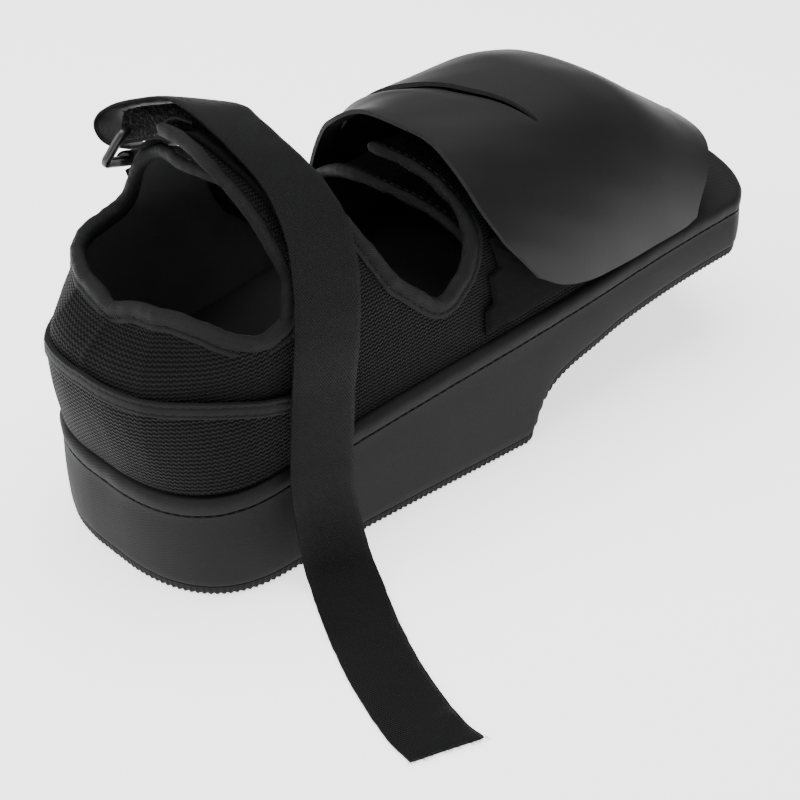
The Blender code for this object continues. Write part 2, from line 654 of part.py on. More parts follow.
tail = np.stack([STRAP_TAIL[k] for k in ("x", "y", "z")], 1).astype(float)
tail_dir = heading(np.array(STRAP_TAIL["swing"], float), np.array(STRAP_TAIL["tip"], float))
on_rear = last(STRAP_ON_FLAP["rear_run"], np.array(STRAP_ON_FLAP["turn"]), -1.0,
               np.array(STRAP_ON_FLAP["rear_lift"]))
on_front = last(STRAP_ON_FLAP["front_run"], np.array(STRAP_ON_FLAP["turn"]), -1.0,
                np.array(STRAP_ON_FLAP["front_lift"]))
on_dir = (on_front - on_rear) / np.linalg.norm(on_front - on_rear, axis=1, keepdims=True)
top = np.stack([STRAP_TOP[k] for k in ("x", "y", "z")], 1).astype(float)
top_dir = heading(np.array(STRAP_TOP["swing"], float), np.full(len(top), STRAP_SLOPE))
top = top + top_dir * STRAP_WIDTH / 2
middle = np.concatenate([tail, (on_rear + on_front) / 2, top])
width_dir = np.concatenate([tail_dir, on_dir, top_dir])
ribbon("ankle_strap", spline(middle, 3), spline(width_dir, 3), STRAP_WIDTH, STRAP_THICK, webbing)

# Strap ring: a flat rectangular frame that stands on the left ankle flap
RING_TOP = np.array((40.0, 28.5, 131.5))
RING_FOOT = np.array((38.6, 34.0, 119.5))
ring_side = heading(RING_SWING, STRAP_SLOPE)
ring_up = RING_TOP - RING_FOOT
ring_up /= np.linalg.norm(ring_up)
ring_face = np.cross(ring_side, ring_up)
ring_face /= np.linalg.norm(ring_face)
ring_up = np.cross(ring_face, ring_side)
ring_middle = (RING_TOP + RING_FOOT) / 2 + ring_side * STRAP_WIDTH / 2


def ring_loop(width, height, corner, out):
    """Rounded rectangle in the plane of the ring, moved out along its normal."""
    points = []
    for sx, sy, start in ((1, 1, 0), (-1, 1, 90), (-1, -1, 180), (1, -1, 270)):
        for a in np.radians(np.linspace(start, start + 90, 4)):
            u = sx * (width / 2 - corner) + corner * np.cos(a)
            v = sy * (height / 2 - corner) + corner * np.sin(a)
            points.append(ring_middle + ring_side * u + ring_up * v + ring_face * out)
    return np.array(points)


half = RING_THICK / 2
loops = [ring_loop(RING_WIDTH, RING_HEIGHT, 3.0, -half), ring_loop(RING_WIDTH, RING_HEIGHT, 3.0, half),
         ring_loop(RING_WIDTH - 2 * RING_BAR, RING_HEIGHT - 2 * RING_BAR, 1.0, half),
         ring_loop(RING_WIDTH - 2 * RING_BAR, RING_HEIGHT - 2 * RING_BAR, 1.0, -half)]
count = len(loops[0])
faces = [(k * count + i, k * count + (i + 1) % count, (k + 1) % 4 * count + (i + 1) % count,
          (k + 1) % 4 * count + i) for k in range(4) for i in range(count)]
make_mesh("strap_ring", np.concatenate(loops), faces, plastic)

# Ring tab: a short webbing loop from the left ankle flap round the ring's lower bar
TAB_WIDTH = 12.0
TAB_RUN = 91.0
TAB_THICK = 1.0
bar = ring_middle - ring_up * (RING_HEIGHT / 2 - RING_BAR / 2) + ring_side * 5
wrap_reach = RING_BAR / 2 + GAP + TAB_THICK / 2 + 0.5
loop = [bar + wrap_reach * (ring_face * np.cos(a) + ring_up * np.sin(a))
        for a in np.radians(np.linspace(-50, 210, 11))]
foot = last(TAB_RUN, 0.40, 1.0, 1.3)
tab_path = np.array([foot] + loop)
flap_dir = last(TAB_RUN + 7, 0.43, 1.0) - last(TAB_RUN - 7, 0.43, 1.0)
flap_dir /= np.linalg.norm(flap_dir)
tab_dir = np.array([flap_dir] + [ring_side] * len(loop))
ribbon("ring_tab", tab_path, tab_dir, TAB_WIDTH, TAB_THICK, webbing)
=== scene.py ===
"""Post operative shoe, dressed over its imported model: a black mesh upper with crossed flaps, a
wedge sole with a raised forefoot, a smooth forefoot cover and a long twill ankle strap."""
import bpy
import numpy as np
from mathutils import Matrix, Vector


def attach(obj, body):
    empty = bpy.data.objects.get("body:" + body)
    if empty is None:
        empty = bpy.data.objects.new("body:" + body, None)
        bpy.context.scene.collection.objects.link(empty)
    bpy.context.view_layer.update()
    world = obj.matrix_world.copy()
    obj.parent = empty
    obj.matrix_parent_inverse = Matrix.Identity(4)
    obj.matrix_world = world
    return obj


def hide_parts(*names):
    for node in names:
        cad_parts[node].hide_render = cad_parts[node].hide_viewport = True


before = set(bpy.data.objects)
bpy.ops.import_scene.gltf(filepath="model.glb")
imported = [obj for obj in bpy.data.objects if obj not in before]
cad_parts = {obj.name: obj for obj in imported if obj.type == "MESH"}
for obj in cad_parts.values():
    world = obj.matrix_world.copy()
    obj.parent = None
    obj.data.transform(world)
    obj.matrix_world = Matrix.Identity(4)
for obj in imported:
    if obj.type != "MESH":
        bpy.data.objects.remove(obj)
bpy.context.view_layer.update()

# Camera, floor and light: a pale studio sweep under large soft boxes, seen from behind the shoe's
# right side and from above. Shoe sizes below are millimetres from the back of the heel, and the
# frame's origin is 77 mm in front of it.
REST = np.array((77.0, 0.0, 0.0))
scene = bpy.context.scene
camera = bpy.data.objects.new("camera", bpy.data.cameras.new("camera"))
scene.collection.objects.link(camera)
scene.camera = camera
right = np.array((0.7273, -0.6862, -0.0128))
up = np.array((0.3608, 0.3664, 0.8576))
back = np.array((-0.5837, -0.6284, 0.5141))
spot = (np.array((-224.0, -379.3, 345.3)) - REST) / 1000
camera.matrix_world = Matrix([[right[i], up[i], back[i], spot[i]] for i in range(3)] + [[0, 0, 0, 1]])
camera.data.lens = 74.25
camera.data.sensor_width = 36.0
camera.data.shift_x = 0.0091
camera.data.shift_y = -0.0920
camera.data.clip_start = 0.01


class Value:
    """A number inside a shader: the usual signs and a few named curves add Math nodes."""

    def __init__(self, finish, socket):
        self.finish, self.socket = finish, socket

    def math(self, operation, *others, first=None):
        terms = [self if first is None else first, *others]
        if first is not None:
            terms.append(self)
        return self.finish.add("Math", {"operation": operation}, dict(enumerate(terms)))

    def __add__(self, other):
        return self.math("ADD", other)

    __radd__ = __add__

    def __mul__(self, other):
        return self.math("MULTIPLY", other)

    __rmul__ = __mul__

    def __sub__(self, other):
        return self.math("SUBTRACT", other)

    def __rsub__(self, other):
        return self.math("SUBTRACT", first=other)

    def __truediv__(self, other):
        return self.math("DIVIDE", other)

    def __pow__(self, other):
        return self.math("POWER", other)

    def wave(self):
        """Cosine ripple from 0 to 1 with one ripple to each whole number."""
        return (self * (2 * np.pi)).math("COSINE") * 0.5 + 0.5

    def saw(self):
        """Fraction after the whole number."""
        return self.math("FRACT")

    def tri(self):
        """Straight zigzag from 0 to 1 and back with one zigzag to each whole number."""
        return self.math("PINGPONG", 0.5) * 2

    def step(self, low, high):
        """Soft step from 0 at low to 1 at high."""
        settings = {"interpolation_type": "SMOOTHSTEP"}
        return self.finish.add("MapRange", settings, {"Value": self, "From Min": low, "From Max": high})

    def over(self, other):
        return self.math("GREATER_THAN", other)

    def most(self, other):
        return self.math("MAXIMUM", other)

    def least(self, other):
        return self.math("MINIMUM", other)


class Finish:
    """One material: Principled, its pattern built from values on the piece's UV or position."""

    def __init__(self, name, colour, roughness, **fixed):
        self.material = bpy.data.materials.new(name)
        self.material.use_nodes = True
        self.tree = self.material.node_tree
        self.shader = self.tree.nodes["Principled BSDF"]
        self.shader.inputs["Base Color"].default_value = (*colour, 1)
        self.shader.inputs["Roughness"].default_value = roughness
        self.shader.inputs["Specular IOR Level"].default_value = 0.1
        for key, value in fixed.items():
            self.shader.inputs[key.replace("_", " ")].default_value = value

    def put(self, socket, value):
        if isinstance(value, Value):
            self.tree.links.new(value.socket, socket)
        else:
            socket.default_value = value

    def add(self, kind, settings=None, sockets=None, out=0):
        """Any shader node: its settings first, then the values or links of its sockets."""
        node = self.tree.nodes.new("ShaderNode" + kind)
        for key, value in (settings or {}).items():
            setattr(node, key, value)
        for key, value in (sockets or {}).items():
            self.put(node.inputs[key], value)
        return Value(self, node.outputs[out])

    def uv(self):
        """Across and along on the cloth, in millimetres."""
        mapped = self.add("UVMap", {"uv_map": "cloth"})
        split = self.tree.nodes.new("ShaderNodeSeparateXYZ")
        self.put(split.inputs[0], mapped)
        return Value(self, split.outputs[0]) * 1000, Value(self, split.outputs[1]) * 1000

    def place(self):
        """Position on the piece, as a vector in metres."""
        return self.add("TexCoord", out=3)

    def noise(self, scale, detail=2.0, rough=0.5, where=None):
        """Soft cloud from 0 to 1; scale is in clouds a metre."""
        sockets = {"Vector": where or self.place(), "Scale": scale, "Detail": detail, "Roughness": rough}
        return self.add("TexNoise", None, sockets)

    def cells(self, scale, where=None):
        """Distance to the nearest of scattered points; scale is in points a metre."""
        return self.add("TexVoronoi", None, {"Vector": where or self.place(), "Scale": scale})

    def blend(self, share, low, high):
        """Colour between two colours."""
        return self.add("Mix", {"data_type": "RGBA"}, {0: share, 6: low, 7: high}, out=2)

    def paint(self, share, low, high):
        """Base colour that runs from low to high with share."""
        colour = self.blend(share, (*low, 1), (*high, 1))
        self.put(self.shader.inputs["Base Color"], colour)

    def rough(self, share, low, high):
        """Roughness that runs from low to high with share."""
        self.put(self.shader.inputs["Roughness"], share * (high - low) + low)

    def relief(self, height, deep):
        """Bump of height times deep millimetres."""
        bump = self.add("Bump", None, {"Strength": 1.0, "Distance": deep / 1000, "Height": height})
        self.put(self.shader.inputs["Normal"], bump)


floor_finish = Finish("studio_floor", (0.90, 0.90, 0.90), 0.9)
floor_finish.paint(floor_finish.noise(3.0), (0.895, 0.895, 0.895), (0.905, 0.905, 0.905))
floor_finish.shader.inputs["Emission Color"].default_value = (1, 1, 1, 1)
floor_finish.shader.inputs["Emission Strength"].default_value = 1.6
floor_mesh = bpy.data.meshes.new("studio_floor")
floor_mesh.from_pydata([(-6, -6, 0), (6, -6, 0), (6, 6, 0), (-6, 6, 0)], [], [(0, 1, 2, 3)])
floor = bpy.data.objects.new("studio_floor", floor_mesh)
floor_mesh.materials.append(floor_finish.material)
scene.collection.objects.link(floor)
floor.location.z = -0.0002

world = bpy.data.worlds.new("studio")
scene.world = world
world.use_nodes = True
world.node_tree.nodes["Background"].inputs["Color"].default_value = (1, 1, 1, 1)
world.node_tree.nodes["Background"].inputs["Strength"].default_value = 0.6


def softbox(name, place, aim, size, power):
    """Square area light at a place, turned to shine on a point; places in metres."""
    lamp = bpy.data.lights.new(name, "AREA")
    lamp.size = size
    lamp.energy = power
    box = bpy.data.objects.new(name, lamp)
    box.location = place
    way = np.array(aim, float) - np.array(place, float)
    box.rotation_mode = "QUATERNION"
    box.rotation_quaternion = Vector(way).to_track_quat("-Z", "Y")
    scene.collection.objects.link(box)


softbox("soft_top", (0.1, 0.1, 1.3), (0.05, 0, 0.05), 1.2, 26)
softbox("soft_left", (-1.1, 0.5, 0.9), (0.05, 0, 0.05), 0.9, 16)
softbox("soft_front", (-0.2, -1.3, 0.7), (0.05, 0, 0.05), 0.9, 2)


# Sole: a foam wedge with a flat rear platform and a raised forefoot, skinned in a stretched dull
# cloth, with a rippled rubber tread cemented under it and a wrapped board on top whose rounded
# lip is sewn down in a groove six millimetres below the footbed.
LENGTH, HEEL_WIDTH, BALL_WIDTH, TOE_WIDTH = 285.0, 97.0, 109.0, 114.0
HEEL_HEIGHT, BED_RISE = 37.0, 0.10
TREAD_THICK, LIP, GAP = 3.4, 6.0, 0.3
GROUND = {
    "x": (0, 60, 120, 140, 147, 150, 154, 161, 170, 181, 192, 214, 238, 262, 285),
    "z": (0, 0, 0, 0, 0, 5.5, 14.5, 21.0, 24.6, 27.2, 30.0, 33.4, 36.2, 38.4, 40.2),
}


def curve(table, key, at):
    """Cubic pieces through a short table, level at its peaks, so that nothing overshoots a row."""
    xs = np.array(table[next(iter(table))], float)
    ys = np.array(table[key], float)
    step = np.diff(xs)
    slope = np.diff(ys) / step
    tangent = np.zeros(len(xs))
    flat = slope[:-1] * slope[1:] <= 0
    mean = 2 * slope[:-1] * slope[1:] / np.where(flat, 1, slope[:-1] + slope[1:])
    tangent[1:-1] = np.where(flat, 0, mean)
    tangent[0], tangent[-1] = slope[0], slope[-1]
    at = np.clip(at, xs[0], xs[-1])
    i = np.clip(np.searchsorted(xs, at, side="right") - 1, 0, len(step) - 1)
    t = (at - xs[i]) / step[i]
    h = step[i]
    return (ys[i] * (1 + 2 * t) * (1 - t) ** 2 + ys[i + 1] * t * t * (3 - 2 * t)
            + h * tangent[i] * t * (1 - t) ** 2 - h * tangent[i + 1] * t * t * (1 - t))


def ease(t):
    """Cubic step 3 t^2 - 2 t^3, held at 0 and 1."""
    t = np.clip(t, 0, 1)
    return t * t * (3 - 2 * t)


def bump(at, middle, half):
    """Bell exp(-(distance / half)^2)."""
    return np.exp(-((at - middle) / half) ** 2)


def hash_wave(at, seed, terms=5):
    """Sum of a few sines with unrelated lengths, about -1 to 1: an uneven ripple along a line."""
    rng = np.random.default_rng(seed)
    total = 0.0
    for k in range(terms):
        total = total + np.sin(at * (0.6 + 0.55 * k + 0.4 * rng.random()) + rng.random() * 6.28)
    return total / terms ** 0.5 / 1.6


def bed(x):
    """Height of the footbed: a straight rise from heel to toe."""
    return HEEL_HEIGHT + BED_RISE * x


def ground(x):
    """Height of the underside: level to the step, then the raised forefoot."""
    return curve(GROUND, "z", x)


def half_outline(count):
    """Half of the sole's outline: a squared arc at the heel, a swelling side, a squared arc at the
    toe, as x and half width."""
    angle = np.linspace(0.12, np.pi / 2, count)
    heel_x = 38.0 * (1 - np.cos(angle) ** (2 / 2.6))
    heel_w = HEEL_WIDTH / 2 * np.sin(angle) ** (2 / 2.6)
    side_x = np.linspace(38.0, LENGTH - 30.0, 3 * count)[1:-1]
    swell = ease((side_x - 38.0) / (190.0 - 38.0))
    flare = np.clip((side_x - 190.0) / (LENGTH - 30.0 - 190.0), 0, 1)
    side_w = HEEL_WIDTH / 2 + (BALL_WIDTH - HEEL_WIDTH) / 2 * swell
    side_w = side_w + (TOE_WIDTH - BALL_WIDTH) / 2 * flare ** 2
    angle = np.linspace(0, np.pi / 2 - 0.12, count)
    toe_x = LENGTH - 30.0 + 30.0 * np.sin(angle) ** (2 / 1.75)
    toe_w = TOE_WIDTH / 2 * np.cos(angle) ** (2 / 1.75)
    return np.concatenate([heel_x, side_x, toe_x]), np.concatenate([heel_w, side_w, toe_w])


def offset_outline(x, w, inset):
    """Outline moved inward by inset along its own normal."""
    dx, dw = np.gradient(x), np.gradient(w)
    size = np.hypot(dx, dw)
    return x + inset * dw / size, w - inset * dx / size


def lengths(points):
    """Distance along a row of points, from its first."""
    return np.concatenate([[0], np.cumsum(np.linalg.norm(np.diff(points, axis=0), axis=1))])


def even(points, count):
    """The same row of points at even distances."""
    run = lengths(points)
    at = np.linspace(0, run[-1], count)
    return np.stack([np.interp(at, run, points[:, k]) for k in range(points.shape[1])], 1)


def outline_ring(count):
    """Closed ring of the sole's outline at even distances, seen from above, from the toe's middle
    on the near side round the heel to the far side: x, y and outward normal."""
    x, w = half_outline(60)
    half = np.stack([np.append(x, x[-1]), np.append(w, 0.0)], 1)
    half = np.concatenate([[[x[0], 0.0]], half])
    near = even(half, count // 2 + 1)
    ring = np.concatenate([near * (1, -1), near[::-1][1:-1]])
    ahead = np.roll(ring, -1, 0) - np.roll(ring, 1, 0)
    normal = np.stack([ahead[:, 1], -ahead[:, 0]], 1)
    return ring, normal / np.linalg.norm(normal, axis=1, keepdims=True)


def make_piece(name, verts, faces, finishes, uv=None, which=None, wrap=None):
    """Mesh object from millimetre points and arrays of three- or four-cornered faces; uv is
    millimetres on the cloth, which names each face's finish, wrap is the uv length of a ring."""
    mesh = bpy.data.meshes.new(name)
    verts = (np.asarray(verts, float).reshape(-1, 3) - REST) / 1000
    faces = [np.asarray(f, np.int32) for f in faces if len(f)]
    corners = np.concatenate([f.ravel() for f in faces])
    sizes = np.concatenate([np.full(len(f), f.shape[1]) for f in faces])
    mesh.vertices.add(len(verts))
    mesh.vertices.foreach_set("co", verts.astype(np.float32).ravel())
    mesh.loops.add(len(corners))
    mesh.loops.foreach_set("vertex_index", corners)
    mesh.polygons.add(len(sizes))
    starts = np.concatenate([[0], np.cumsum(sizes)[:-1]]).astype(np.int32)
    mesh.polygons.foreach_set("loop_start", starts)
    if uv is not None:
        flat = np.asarray(uv, float).reshape(-1, 2)[corners]
        if wrap:
            first = np.repeat(flat[starts], sizes, axis=0)
            flat = flat + np.array(wrap) * np.round((first - flat) / np.array(wrap))
        layer = mesh.uv_layers.new(name="cloth")
        layer.data.foreach_set("uv", (flat / 1000).astype(np.float32).ravel())
    for finish in finishes:
        mesh.materials.append(finish.material)
    if which is not None:
        mesh.polygons.foreach_set("material_index", np.asarray(which, np.int32))
    mesh.polygons.foreach_set("use_smooth", np.ones(len(sizes), bool))
    mesh.update()
    mesh.validate()
    mesh.set_sharp_from_angle(angle=np.radians(48))
    piece = bpy.data.objects.new(name, mesh)
    scene.collection.objects.link(piece)
    return piece


def fit(piece, slot, *nodes):
    """The piece rides on the shoe and stands for these nodes, which are hidden; slot is not used."""
    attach(piece, "root")
    if nodes:
        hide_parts(*nodes)
    return piece


def rings(stack, closed_ends=True):
    """Faces of a stack of closed rings of equal count, lowest first, and of a strip-filled cap on
    each end; the ring starts on the middle line, so its halves pair up."""
    count, ring = stack
    i = np.arange(ring)
    j = (i + 1) % ring
    quads = [np.stack([k * ring + i, k * ring + j, (k + 1) * ring + j, (k + 1) * ring + i], 1)
             for k in range(count - 1)]
    if closed_ends:
        a = np.arange(0, ring // 2)
        b = a + 1
        d, c = (ring - a) % ring, ring - b
        low = np.stack([a, d, c, b], 1)
        top = (count - 1) * ring + np.stack([a, b, c, d], 1)
        for cap in (low, top):
            fan = cap[1:-1]
            quads.append(fan)
        tris = [low[:1, [0, 2, 3]], low[-1:, [0, 1, 3]], top[:1, [0, 1, 2]], top[-1:, [0, 1, 3]]]
        return [np.concatenate(quads), np.concatenate(tris)]
    return [np.concatenate(quads)]


def layer(name, levels, count, finish, ripple=None):
    """Sole layer: the outline ring at each level's inset and height, joined up its wall."""
    ring, normal = outline_ring(count)
    run = lengths(np.concatenate([ring, ring[:1]]))
    stack, uv = [], []
    rise = 0.0
    for k, (inset, height) in enumerate(levels):
        shift = inset + (ripple(run[:-1], k) if ripple else 0.0)
        flat = ring - normal * np.broadcast_to(shift, len(ring))[:, None]
        z = height(flat[:, 0])
        row = np.column_stack([flat, z])
        if stack:
            rise = rise + np.median(np.linalg.norm(row - stack[-1], axis=1))
        stack.append(row)
        uv.append(np.column_stack([run[:-1], np.full(len(ring), rise)]))
    verts = np.concatenate(stack)
    return make_piece(name, verts, rings((len(levels), len(ring))), [finish],
                      uv=np.concatenate(uv), wrap=(run[-1], 1e9))


foam = Finish("sidewall_foam", (0.030, 0.030, 0.032), 0.62)
u, v = foam.uv()
weave = ((u + v) / 0.9).wave() * ((u * 0.35 - v) / 1.1).wave()
dust = (0.032 - foam.cells(150.0)).step(0.0, 0.012) * foam.noise(30.0).step(0.45, 0.7)
cloud = foam.noise(38.0, 4.0, 0.6)
foam.paint(cloud * 0.7 + weave * 0.2 + dust * 2.0, (0.006, 0.006, 0.0065), (0.0135, 0.0135, 0.0145))
foam.rough(cloud, 0.52, 0.72)
foam.relief(weave * 0.45 + foam.noise(900.0, 2.0) * 0.5 + cloud * 1.5, 0.12)

levels = [(1.0, lambda x: ground(x) + TREAD_THICK + GAP), (0.55, lambda x: ground(x) + TREAD_THICK + 1.2)]
for share in np.linspace(0.1, 0.94, 10):
    swell = 0.55 - 0.45 * np.sin(np.pi * share)
    levels.append((swell, lambda x, s=share: (ground(x) + TREAD_THICK) * (1 - s) + (bed(x) - LIP - 0.8) * s))
levels += [(0.35, lambda x: bed(x) - LIP - 0.5), (1.0, lambda x: bed(x) - LIP - 0.2)]
midsole = fit(layer("midsole_wedge", levels, 480, foam), "sidewall_foam", "midsole")

wrap_cloth = Finish("lip_wrap", (0.030, 0.030, 0.032), 0.6)
u, v = wrap_cloth.uv()
weave = ((u + v) / 0.8).wave() * ((u * 0.35 - v) / 1.0).wave()
cloud = wrap_cloth.noise(60.0, 3.0)
wrap_cloth.paint(cloud * 0.6 + weave * 0.3, (0.006, 0.006, 0.0065), (0.0135, 0.0135, 0.0145))
wrap_cloth.rough(cloud, 0.5, 0.7)
wrap_cloth.relief(weave * 0.5 + cloud * 1.2, 0.14)
lip = [(1.3, 6.0), (0.6, 5.9), (0.3, 5.5), (0.1, 4.6), (0.0, 3.3), (0.05, 2.2), (0.5, 1.1), (1.3, 0.35),
       (2.3, 0.05), (3.4, 0.0)]
levels = [(inset, lambda x, d=down: bed(x) - d) for inset, down in lip]


def lip_ripple(run, level):
    """Slight unevenness of the wrapped lip, strongest on its crest."""
    return 0.16 * hash_wave(run / 5.0, 3) * np.sin(np.pi * level / 9)


welt = fit(layer("footbed_lip", levels, 480, wrap_cloth, lip_ripple), "welt_wrap", "welt")

thread = Finish("sewing_thread", (0.012, 0.012, 0.013), 0.45)
thread.paint(thread.noise(600.0), (0.002, 0.002, 0.0022), (0.006, 0.006, 0.0064))
pale_thread = Finish("pale_thread", (0.35, 0.35, 0.34), 0.6)
pale_thread.paint(pale_thread.noise(600.0), (0.25, 0.25, 0.24), (0.45, 0.45, 0.44))


def stitches(name, path, normal, finish, length=2.4, gap=0.9, thick=0.55, sink=0.1):
    """Row of stitches along a path: each is a six-sided spindle, fat in the middle, with its ends
    dipping into the cloth along the normal."""
    run = lengths(path)
    start = np.arange(gap, run[-1] - length, length + gap)
    along = np.linspace(0, 1, 5)
    at = start[:, None] + along[None, :] * length
    flat = at.ravel()
    middle = np.stack([np.interp(flat, run, path[:, k]) for k in range(3)], 1)
    upward = np.stack([np.interp(flat, run, normal[:, k]) for k in range(3)], 1)
    upward /= np.linalg.norm(upward, axis=1, keepdims=True)
    ahead = np.stack([np.interp(flat + 0.1, run, path[:, k]) for k in range(3)], 1) - np.stack(
        [np.interp(flat - 0.1, run, path[:, k]) for k in range(3)], 1)
    ahead /= np.maximum(np.linalg.norm(ahead, axis=1, keepdims=True), 1e-9)
    side = np.cross(ahead, upward)
    fat = np.tile(thick / 2 * (0.25 + 0.75 * np.sin(np.pi * along) ** 0.5), len(start))
    dip = np.tile(-sink - 0.45 * thick * (1 - np.sin(np.pi * along) ** 0.6), len(start))
    angle = np.linspace(0, 2 * np.pi, 6, endpoint=False)
    ring = (middle + upward * dip[:, None])[:, None] + fat[:, None, None] * (
        side[:, None] * np.cos(angle)[None, :, None] + upward[:, None] * np.sin(angle)[None, :, None])
    count = len(start)
    base = np.arange(count)[:, None] * 30
    i = np.arange(6)
    j = (i + 1) % 6
    quads = [np.stack([base + k * 6 + i, base + k * 6 + j, base + (k + 1) * 6 + j, base + (k + 1) * 6 + i], -1)
             for k in range(4)]
    quads = np.concatenate(quads).reshape(-1, 4)
    ends = [base + np.array((0, 3, 2, 1)), base + np.array((0, 5, 4, 3)), base + 24 + np.array((0, 1, 2, 3)),
            base + 24 + np.array((0, 3, 4, 5))]
    return fit(make_piece(name, ring, [quads, np.concatenate(ends)], [finish]), "binding_twill")


ring, normal = outline_ring(960)
groove = ring - normal * 0.75
groove = np.column_stack([groove, bed(groove[:, 0]) - LIP - 0.25])
stitches("lip_stitches", groove, np.column_stack([normal, 0 * normal[:, 0]]), thread, 2.2, 1.3, 0.7, 0.0)
toe_row = np.array([[284.0 - 7.0, -24.0], [284.0 - 7.0, 6.0]])
toe_row = even(toe_row, 40)
toe_row = np.column_stack([toe_row, bed(toe_row[:, 0]) + 0.25])
stitches("toe_board_stitches", toe_row, np.zeros((40, 3)) + (0, 0, 1), pale_thread, 2.4, 1.5, 0.6, 0.0)

rubber = Finish("tread_rubber", (0.016, 0.016, 0.017), 0.7)
cloud = rubber.noise(70.0, 4.0)
rubber.paint(cloud, (0.005, 0.005, 0.0054), (0.012, 0.012, 0.0127))
rubber.rough(cloud, 0.55, 0.8)
rubber.relief(rubber.noise(1500.0, 2.0), 0.06)


def tread_ripple(run, level):
    """Serrated edge: notches every 2.3 mm, deepest at the floor."""
    depth = (0.0, 0.6, 0.75, 0.55, 0.15, 0.0)[level]
    return depth * (0.5 - 0.5 * np.cos(2 * np.pi * run / 2.3))


def rib(x):
    """Cross ribs of the underside: half waves every 4.6 mm, 0.9 mm deep."""
    return 0.9 * np.abs(np.sin(np.pi * x / 4.6)) ** 0.7


ring, normal = outline_ring(1920)
run = lengths(np.concatenate([ring, ring[:1]]))[:-1]
stack = []
steps = ((3.4, 1.1), (2.6, 0.05), (1.5, 0.1), (1.0, 1.3), (1.0, 2.4), (1.0, TREAD_THICK))
for level, (inset, lift) in enumerate(steps):
    flat = ring - normal * (inset + tread_ripple(run, level))[:, None]
    stack.append(np.column_stack([flat, ground(flat[:, 0]) + lift]))
fit(make_piece("tread_edge", np.concatenate(stack), rings((6, len(ring))), [rubber]),
    "tread_rubber", "outsole_tread")


def shell(name, outer, inner, finishes, uv=None, cells=None, flip=False):
    """Closed sheet between two grids of points, for the cells that are kept: outside, inside and a
    rim wherever a neighbour is missing. The finishes are the outside's, the inside's, the rim's."""
    rows, cols = outer.shape[:2]
    if cells is None:
        cells = np.ones((rows - 1, cols - 1), bool)
    index = np.arange(rows * cols).reshape(rows, cols)
    shift = rows * cols
    a, b, c, d = index[:-1, :-1], index[1:, :-1], index[1:, 1:], index[:-1, 1:]
    kept = np.zeros((rows + 1, cols + 1), bool)
    kept[1:rows, 1:cols] = cells
    front = np.stack([a, d, c, b], -1)[cells]
    behind = np.stack([a, b, c, d], -1)[cells] + shift
    rims = []
    for missing, p, q in ((~kept[1:rows, :cols - 1], a, b), (~kept[2:, 1:cols], b, c),
                          (~kept[1:rows, 2:], c, d), (~kept[:rows - 1, 1:cols], d, a)):
        open_edge = missing & cells
        rims.append(np.stack([p, q, q + shift, p + shift], -1)[open_edge])
    rims = np.concatenate(rims)
    faces = np.concatenate([front, behind, rims])
    which = np.concatenate([np.zeros(len(front)), np.full(len(behind), 1), np.full(len(rims), 2)])
    which = np.minimum(which, len(finishes) - 1)
    if flip:
        faces = faces[:, ::-1]
    used = np.unique(faces)
    remap = np.full(2 * shift, -1)
    remap[used] = np.arange(len(used))
    verts = np.concatenate([outer.reshape(-1, 3), inner.reshape(-1, 3)])[used]
    if uv is not None:
        uv = np.concatenate([uv.reshape(-1, 2)] * 2)[used]
    return make_piece(name, verts, [remap[faces]], finishes, uv=uv, which=which)


rib_x = np.arange(5.0, 280.0, 0.46)
ring_x, ring_w = offset_outline(*half_outline(60), 3.2)
half = np.interp(rib_x, ring_x, ring_w)
across = np.linspace(-1, 1, 9)
top = np.stack([rib_x[:, None] + 0 * across, half[:, None] * across, ground(rib_x)[:, None] + 0 * across], -1)
under = top + (0, 0, 1.0) * (1.0 - rib(rib_x)[:, None, None] / 0.9)
fit(shell("tread_ribs", top + (0, 0, 1.4), under, [rubber], flip=True), "tread_rubber")

# Footbed: a thin foam pad inside the shoe, faced with a soft brushed knit and laid loose on the
# board; its edge is cut square and softened by wear.
knit = Finish("footbed_knit", (0.02, 0.02, 0.021), 0.9)
u, v = knit.noise(900.0, 2.0), knit.noise(45.0, 3.0)
knit.paint(u * 0.4 + v * 0.7, (0.003, 0.003, 0.0032), (0.008, 0.008, 0.0084))
knit.relief(u + v * 2.0, 0.2)
EDGE_INSET, WALL = 3.0, 3.6
x, w = half_outline(60)
w = np.minimum(w, np.interp(x * 0.88, x, w))
half = even(np.concatenate([[[x[0] * 0.88, 0.0]], np.stack([x * 0.88, w], 1), [[x[-1] * 0.88, 0.0]]]), 181)
ring = np.concatenate([half * (1, -1), half[::-1][1:-1]])
ahead = np.roll(ring, -1, 0) - np.roll(ring, 1, 0)
normal = np.stack([ahead[:, 1], -ahead[:, 0]], 1)
normal /= np.linalg.norm(normal, axis=1, keepdims=True)
stack = []
for inset, lift in ((0, 0), (-0.3, 1.2), (0.0, 2.6), (0.6, 3.5), (1.6, 3.95), (3.0, 4.0)):
    flat = ring - normal * (EDGE_INSET + WALL + 1.6 + inset)
    stack.append(np.column_stack([flat, bed(flat[:, 0]) + GAP + lift]))
pad = make_piece("footbed_pad", np.concatenate(stack), rings((6, len(ring))), [knit])
fit(pad, "insole_cloth", "insole")


